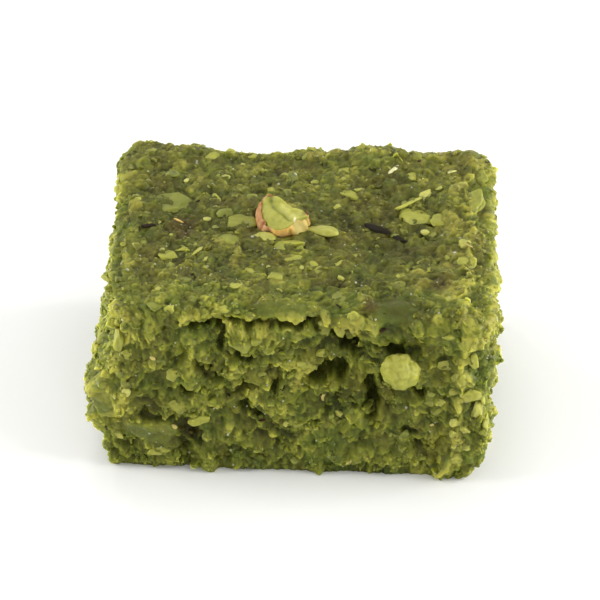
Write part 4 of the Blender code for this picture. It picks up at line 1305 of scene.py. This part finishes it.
class BURFI_OT_paste_block(bpy.types.Operator):
    """Makes the pressed and cut block of ground pistachio paste"""

    bl_idname = "burfi.paste_block"
    bl_label = "Paste block"

    def execute(self, context):
        plain, quads, underside = box_lattice(BLOCK_SIZE)
        points, numbers = paste_form(plain, BLOCK_SIZE)
        material = made_once(ground_pistachio_paste, context.scene.burfi_look)
        block = make_mesh("paste_block", points, quads, numbers, material, closing_face=underside)
        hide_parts("burfi_block")
        return {"FINISHED"}


class BURFI_OT_crumbs(bpy.types.Operator):
    """Scatters broken crumbs and fine grains of the paste over the block"""

    bl_idname = "burfi.crumbs"
    bl_label = "Crumbs and grains"

    def execute(self, context):
        sizes = context.scene.burfi_sizes
        material = made_once(ground_pistachio_paste, context.scene.burfi_look)
        points, normals, numbers = surface_of("paste_block")
        calm = calm_normals(points)
        on_top = facing_up(calm)
        free = open_places(points, 2.7, 0.35)
        # Each group's name, seed, count, size, net, roughness, flat cuts and its share on the top.
        groups = (
            ("paste_crumbs", 5, sizes.crumb_count, sizes.crumb_size / MM, (5, 7), 0.6, 3, 0.35),
            ("paste_grains", 9, sizes.grain_count, sizes.grain_size / MM, (3, 4), 0.5, 0, 0.8),
        )
        for name, seed, count, size, (rings, sides), roughness, cuts, top_share in groups:
            rng = np.random.default_rng(seed)
            weight = free * (1.0 - (1.0 - top_share) * on_top) * (0.2 + numbers["relief"])
            weight = weight * (1.0 - 0.85 * numbers["smear"])
            chosen = drawn_places(rng, weight, count)
            net = ball_net(rings, sides)
            shapes = rough_pieces(rng, count, net, roughness, cuts)
            radii = np.minimum(drawn_radii(rng, size, 0.38, (0.65, 1.4), count), 2.0 * size)
            top_here = on_top[chosen][:, None]
            radii[:, 2:] *= 1.0 - 0.5 * top_here
            sink = radii[:, 2:] * (rng.uniform(0.35, 0.85, (count, 1)) + 0.15 * top_here)
            spots = points[chosen] - calm[chosen] * sink
            facing = 0.5 * calm[chosen] + 0.5 * normals[chosen]
            placed = laid_on(rng, shapes, radii, spots, facing, 0.35)
            flat_points, triangles = joined(placed, net[1])
            flat_points[:, 2] = np.maximum(flat_points[:, 2], 0.02)
            height = np.einsum("npa,na->np", placed - spots[:, None], calm[chosen]) / radii[:, 2:]
            # The crumbs' relief is painted light and shade: lighter toward each crumb's top and where the
            # block stands out, darker toward its foot.
            shade = numbers["relief"][chosen][:, None] * 0.6 + 0.22 + 0.25 * height
            tint = 0.78 * numbers["tint"][chosen] + 0.22 * rng.uniform(0.0, 1.1, count)
            own = {"tint": tint, "smear": 0.0 * tint, "brown": numbers["brown"][chosen]}
            attributes = {label: np.repeat(values, len(net[0])) for label, values in own.items()}
            attributes["relief"] = shade.ravel()
            piece = make_mesh(name, flat_points, triangles, attributes, material, sharp_from=65.0)
        return {"FINISHED"}


class BURFI_OT_nut_chips(bpy.types.Operator):
    """Sets chips of pistachio flesh into the paste"""

    bl_idname = "burfi.nut_chips"
    bl_label = "Nut chips"

    def execute(self, context):
        sizes = context.scene.burfi_sizes
        material = made_once(cut_pistachio_flesh, context.scene.burfi_look)
        points, _, numbers = surface_of("paste_block")
        calm = calm_normals(points)
        on_top = facing_up(calm)
        free = open_places(points, 2.9, 0.6)
        rng = np.random.default_rng(31)
        count = sizes.chip_count
        weight = free * (0.35 + numbers["relief"]) * (1.0 - 0.8 * numbers["smear"]) * (0.5 + 0.5 * on_top)
        chosen = drawn_places(rng, weight, count)
        net = ball_net(5, 8)
        shapes = rough_pieces(rng, count, net, 0.30, 5, (0.45, 0.85))
        radii = np.minimum(drawn_radii(rng, sizes.chip_size / MM, 0.42, (0.7, 1.5), count), 1.0)
        top_here = on_top[chosen][:, None]
        radii[:, 2:] *= 0.75 - 0.3 * top_here
        sink = radii[:, 2:] * (0.50 + rng.uniform(0.0, 0.35, (count, 1)) + 0.10 * top_here)
        placed = laid_on(rng, shapes, radii, points[chosen] - calm[chosen] * sink, calm[chosen], 0.12)
        flat_points, triangles = joined(placed, net[1])
        tint = 0.06 + 0.66 * rng.beta(1.2, 3.0, count) * (0.40 + 0.60 * on_top[chosen])
        numbers = {"tint": np.repeat(tint, len(net[0])), "relief": np.ones(len(flat_points))}
        piece = make_mesh("nut_chips", flat_points, triangles, numbers, material, sharp_from=40.0)
        return {"FINISHED"}


class BURFI_OT_nut_chunks(bpy.types.Operator):
    """Sets the larger pieces of chopped nut into the paste, each at its own place"""

    bl_idname = "burfi.nut_chunks"
    bl_label = "Nut chunks"

    def execute(self, context):
        material = made_once(cut_pistachio_flesh, context.scene.burfi_look)
        surface = surface_of("paste_block")[0]
        rng = np.random.default_rng(83)
        net = ball_net(15, 24)
        places, radii, turns, shades, rough, sunk = (list(column) for column in zip(*CHUNKS))
        shapes = np.concatenate([
            rough_pieces(rng, 1, net, 0.22 + 0.4 * roughness, 8, (0.58, 0.92)) for roughness in rough])
        shapes[..., 2] = CHUNK_CROWN * np.tanh(shapes[..., 2] / CHUNK_CROWN)
        offsets = (net[0][None] + 40.0 * rng.random((len(CHUNKS), 1, 3))).reshape(-1, 3)
        bumps = sum(
            share * smooth_noise(offsets, spacing, salt=17).reshape(len(CHUNKS), -1, 1)
            for share, spacing in ((0.65, 0.42), (0.35, 0.2)))
        shapes = shapes * (1.0 + (0.06 + 0.5 * np.array(rough)[:, None, None]) * bumps)
        placed = set_in_place(shapes, zip(places, radii, turns, sunk), surface)
        flat_points, triangles = joined(placed, net[1])
        # The relief falls toward each chunk's lower rim, which the flesh material turns darker and greener:
        # painted shade where the chunk meets the paste.
        relief = 0.3 + 0.7 * smooth_step(shapes[..., 2], -0.1, 0.55)
        tint = np.array(shades)[:, None] + 0.14 * bumps[..., 0]
        attributes = {"tint": tint.ravel(), "relief": relief.ravel()}
        piece = make_mesh("nut_chunks", flat_points, triangles, attributes, material, sharp_from=60.0)
        return {"FINISHED"}


class BURFI_OT_pale_lump(bpy.types.Operator):
    """Packs the one pale lump of nut paste into the front"""

    bl_idname = "burfi.pale_lump"
    bl_label = "Pale lump"

    def execute(self, context):
        net = ball_net(62, 96)
        form = net[0] * (1.0 + 0.08 * smooth_noise(net[0] * 1.5, 1.0, salt=204)
                         + 0.05 * smooth_noise(net[0] * 3.4, 1.0, salt=202))[:, None]
        warped = form * LUMP_RADII + 0.16 * noise_vector(form, 0.35, salt=203)
        knobs = sum(
            share * np.clip(1.0 - (to_nearest_lump(warped, spacing, salt=207) / 0.8) ** 2, 0.0, 1.0)
            for spacing, share in LUMP_GRAIN_SIZES) - 0.7
        points = form * LUMP_RADII + net[0] * (LUMP_GRAINS * knobs)[:, None] + LUMP_AT
        upwards = net[0][:, 2]
        # The tint rises toward the lump's top and the relief falls toward its underside: painted light above
        # and painted shade below.
        numbers = {
            "tint": 0.44 + 0.10 * knobs + 0.08 * smooth_noise(warped, 0.9, salt=213) + 0.09 * upwards,
            "relief": 0.6 - 0.25 * smooth_step(-upwards, -0.1, 0.8)}
        material = made_once(cut_pistachio_flesh, context.scene.burfi_look)
        piece = make_mesh("pale_lump", points, net[1], numbers, material)
        return {"FINISHED"}


class BURFI_OT_sugar(bpy.types.Operator):
    """Sprinkles sugar crystals in the paste, pale specks that also stand in for glints as painted highlights
    """

    bl_idname = "burfi.sugar"
    bl_label = "Sugar crystals"

    def execute(self, context):
        sizes = context.scene.burfi_sizes
        points, normals, _ = surface_of("paste_block")
        rng = np.random.default_rng(19)
        count = sizes.sugar_count
        weight = open_places(points, 2.7, 0.5) * 1.0
        chosen = drawn_places(rng, weight, count)
        net = ball_net(3, 6)
        shapes = rough_pieces(rng, count, net, 0.25, 3, (0.6, 0.9))
        radii = drawn_radii(rng, sizes.sugar_size / MM, 0.3, (0.8, 1.25), count)
        spots = points[chosen] + 0.02 * normals[chosen]
        flat_points, triangles = joined(laid_on(rng, shapes, radii, spots, normals[chosen], 0.8), net[1])
        material = made_once(sugar_crystal_painted_glint, context.scene.burfi_look)
        piece = make_mesh("sugar_crystals", flat_points, triangles, {}, material, sharp_from=30.0)
        return {"FINISHED"}


class BURFI_OT_kernel_slice(bpy.types.Operator):
    """Makes the chopped kernel slice on top, with its papery skin"""

    bl_idname = "burfi.kernel_slice"
    bl_label = "Kernel slice"

    def execute(self, context):
        look = context.scene.burfi_look
        points, faces, relief, tint = kernel_flesh()
        attributes = {"tint": tint, "relief": relief}
        flesh = make_mesh("kernel_flesh", points, faces, attributes, made_once(cut_pistachio_flesh, look))
        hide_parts("pistachio_slice")
        points, faces, tint = kernel_skin()
        skin = make_mesh("kernel_skin", points, faces, {"tint": tint}, made_once(papery_pistachio_skin, look))
        return {"FINISHED"}


class BURFI_OT_flecks(bpy.types.Operator):
    """Lays flecks of papery skin in the paste"""

    bl_idname = "burfi.flecks"
    bl_label = "Skin flecks"

    def execute(self, context):
        material = made_once(papery_pistachio_skin, context.scene.burfi_look)
        points, normals, _ = surface_of("paste_block")
        calm = calm_normals(points)
        rng = np.random.default_rng(57)
        count = context.scene.burfi_sizes.fleck_count
        weight = open_places(points, 3.2, 0.8) * 1.0
        chosen = drawn_places(rng, weight, count)
        net = ball_net(7, 10)
        shapes = rough_pieces(rng, count, net, 0.5, 2)
        ranges = ((0.18, 0.55), (0.08, 0.18), (0.05, 0.09))
        radii = np.stack([rng.uniform(low, high, count) for low, high in ranges], axis=1)
        spots = points[chosen] - 0.02 * calm[chosen]
        scattered = laid_on(rng, shapes, radii, spots, 0.5 * calm[chosen] + 0.5 * normals[chosen], 0.15)
        rows = [(place, size, turn, 0.1) for place, size, turn, _ in FLECKS]
        placed = set_in_place(rough_pieces(rng, len(FLECKS), net, 0.35, 1), rows, points)
        flat_points, triangles = joined(np.concatenate([scattered, placed]), net[1])
        mostly_dark = rng.random(count) < 0.85
        shades = np.where(mostly_dark, rng.uniform(-0.1, 0.04, count), rng.uniform(1.1, 1.3, count))
        tint = np.repeat(np.concatenate([shades, [row[3] for row in FLECKS]]), len(net[0]))
        piece = make_mesh("skin_flecks", flat_points, triangles, {"tint": tint}, material, sharp_from=45.0)
        return {"FINISHED"}


class BURFI_OT_studio(bpy.types.Operator):
    """Makes the plain pale floor, the soft lights and the camera"""

    bl_idname = "burfi.studio"
    bl_label = "Studio"

    def execute(self, context):
        scene = context.scene
        studio = scene.burfi_studio
        grid = np.linspace(-FLOOR_REACH, FLOOR_REACH, 9) / MM
        floor_x, floor_y = np.meshgrid(grid, grid, indexing="ij")
        level = np.full(floor_x.size, -FLOOR_DROP)
        floor_points = np.stack([floor_x.ravel(), floor_y.ravel(), level], axis=1)
        mesh = bpy.data.meshes.new("floor")
        quads = grid_quads(np.arange(floor_x.size).reshape(floor_x.shape))
        mesh.from_pydata((floor_points * MM).tolist(), [], quads.tolist())
        mesh.materials.append(made_once(matt_white_board, scene.burfi_look))
        floor = bpy.data.objects.new("floor", mesh)
        scene.collection.objects.link(floor)

        # Each light's name, place, side and power, in metres and watts.
        aim = Vector(AIM)
        lights = (
            ("left_softbox", (-0.36, -0.02, 0.13), 0.24, studio.side_power),
            ("right_softbox", (0.36, 0.00, 0.13), 0.24, 1.25 * studio.side_power),
            ("top_softbox", (-0.05, 0.24, 0.40), 0.12, studio.top_power),
            ("front_fill", (0.10, -0.50, 0.20), 0.18, studio.front_power),
            ("left_spark", (-0.20, 0.22, 0.34), 0.03, studio.spark_power),
            ("right_spark", (0.24, -0.12, 0.36), 0.03, studio.spark_power),
        )
        for name, place, side, power in lights:
            lamp = bpy.data.lights.new(name, "AREA")
            lamp.shape, lamp.size, lamp.energy = "SQUARE", side, power
            held = bpy.data.objects.new(name, lamp)
            held.location = place
            held.rotation_euler = (aim - Vector(place)).to_track_quat("-Z", "Y").to_euler()
            scene.collection.objects.link(held)

        world = bpy.data.worlds.new("pale_room")
        world.use_nodes = True
        backdrop = world.node_tree.nodes["Background"]
        backdrop.inputs["Color"].default_value = (1.0, 1.0, 1.0, 1.0)
        backdrop.inputs["Strength"].default_value = studio.ambient
        scene.world = world
        scene.view_settings.view_transform = "Standard"

        turn, rise = np.radians(studio.azimuth), np.radians(studio.elevation)
        back = Vector((np.sin(turn) * np.cos(rise), -np.cos(turn) * np.cos(rise), np.sin(rise)))
        camera = bpy.data.objects.new("camera", bpy.data.cameras.new("camera"))
        camera.data.lens = studio.lens
        camera.data.clip_start, camera.data.clip_end = 0.01, 20.0
        camera.location = aim + back * studio.distance
        camera.rotation_euler = (-back).to_track_quat("-Z", "Y").to_euler()
        scene.collection.objects.link(camera)
        scene.camera = camera
        return {"FINISHED"}


# ---- Panel and registration ------------------------------------------------------------------------

OPERATORS = (
    BURFI_OT_paste_block, BURFI_OT_crumbs, BURFI_OT_nut_chips, BURFI_OT_nut_chunks, BURFI_OT_pale_lump,
    BURFI_OT_kernel_slice, BURFI_OT_flecks, BURFI_OT_sugar, BURFI_OT_studio,
)


class BURFI_PT_panel(bpy.types.Panel):
    """Lists the burfi's pieces and settings"""

    bl_label = "Pistachio Burfi"
    bl_space_type = "VIEW_3D"
    bl_region_type = "UI"
    bl_category = "Burfi"

    def draw(self, context):
        for operator in OPERATORS:
            self.layout.operator(operator.bl_idname)
        for settings in (context.scene.burfi_sizes, context.scene.burfi_look, context.scene.burfi_studio):
            box = self.layout.box()
            for name in settings.__annotations__:
                box.prop(settings, name)


CLASSES = (BurfiLook, BurfiSizes, BurfiStudio, *OPERATORS, BURFI_PT_panel)


def register():
    """Makes the operators, the panel and the settings known to Blender."""
    for made in CLASSES:
        bpy.utils.register_class(made)
    bpy.types.Scene.burfi_look = PointerProperty(type=BurfiLook)
    bpy.types.Scene.burfi_sizes = PointerProperty(type=BurfiSizes)
    bpy.types.Scene.burfi_studio = PointerProperty(type=BurfiStudio)


def unregister():
    """Takes them out again, in the opposite order."""
    del bpy.types.Scene.burfi_studio
    del bpy.types.Scene.burfi_sizes
    del bpy.types.Scene.burfi_look
    for made in reversed(CLASSES):
        bpy.utils.unregister_class(made)


def main():
    """Builds every piece in order."""
    register()
    bpy.ops.burfi.paste_block()
    bpy.ops.burfi.crumbs()
    bpy.ops.burfi.nut_chips()
    bpy.ops.burfi.nut_chunks()
    bpy.ops.burfi.pale_lump()
    bpy.ops.burfi.kernel_slice()
    bpy.ops.burfi.flecks()
    bpy.ops.burfi.sugar()
    bpy.ops.burfi.studio()


if __name__ == "__main__":
    main()
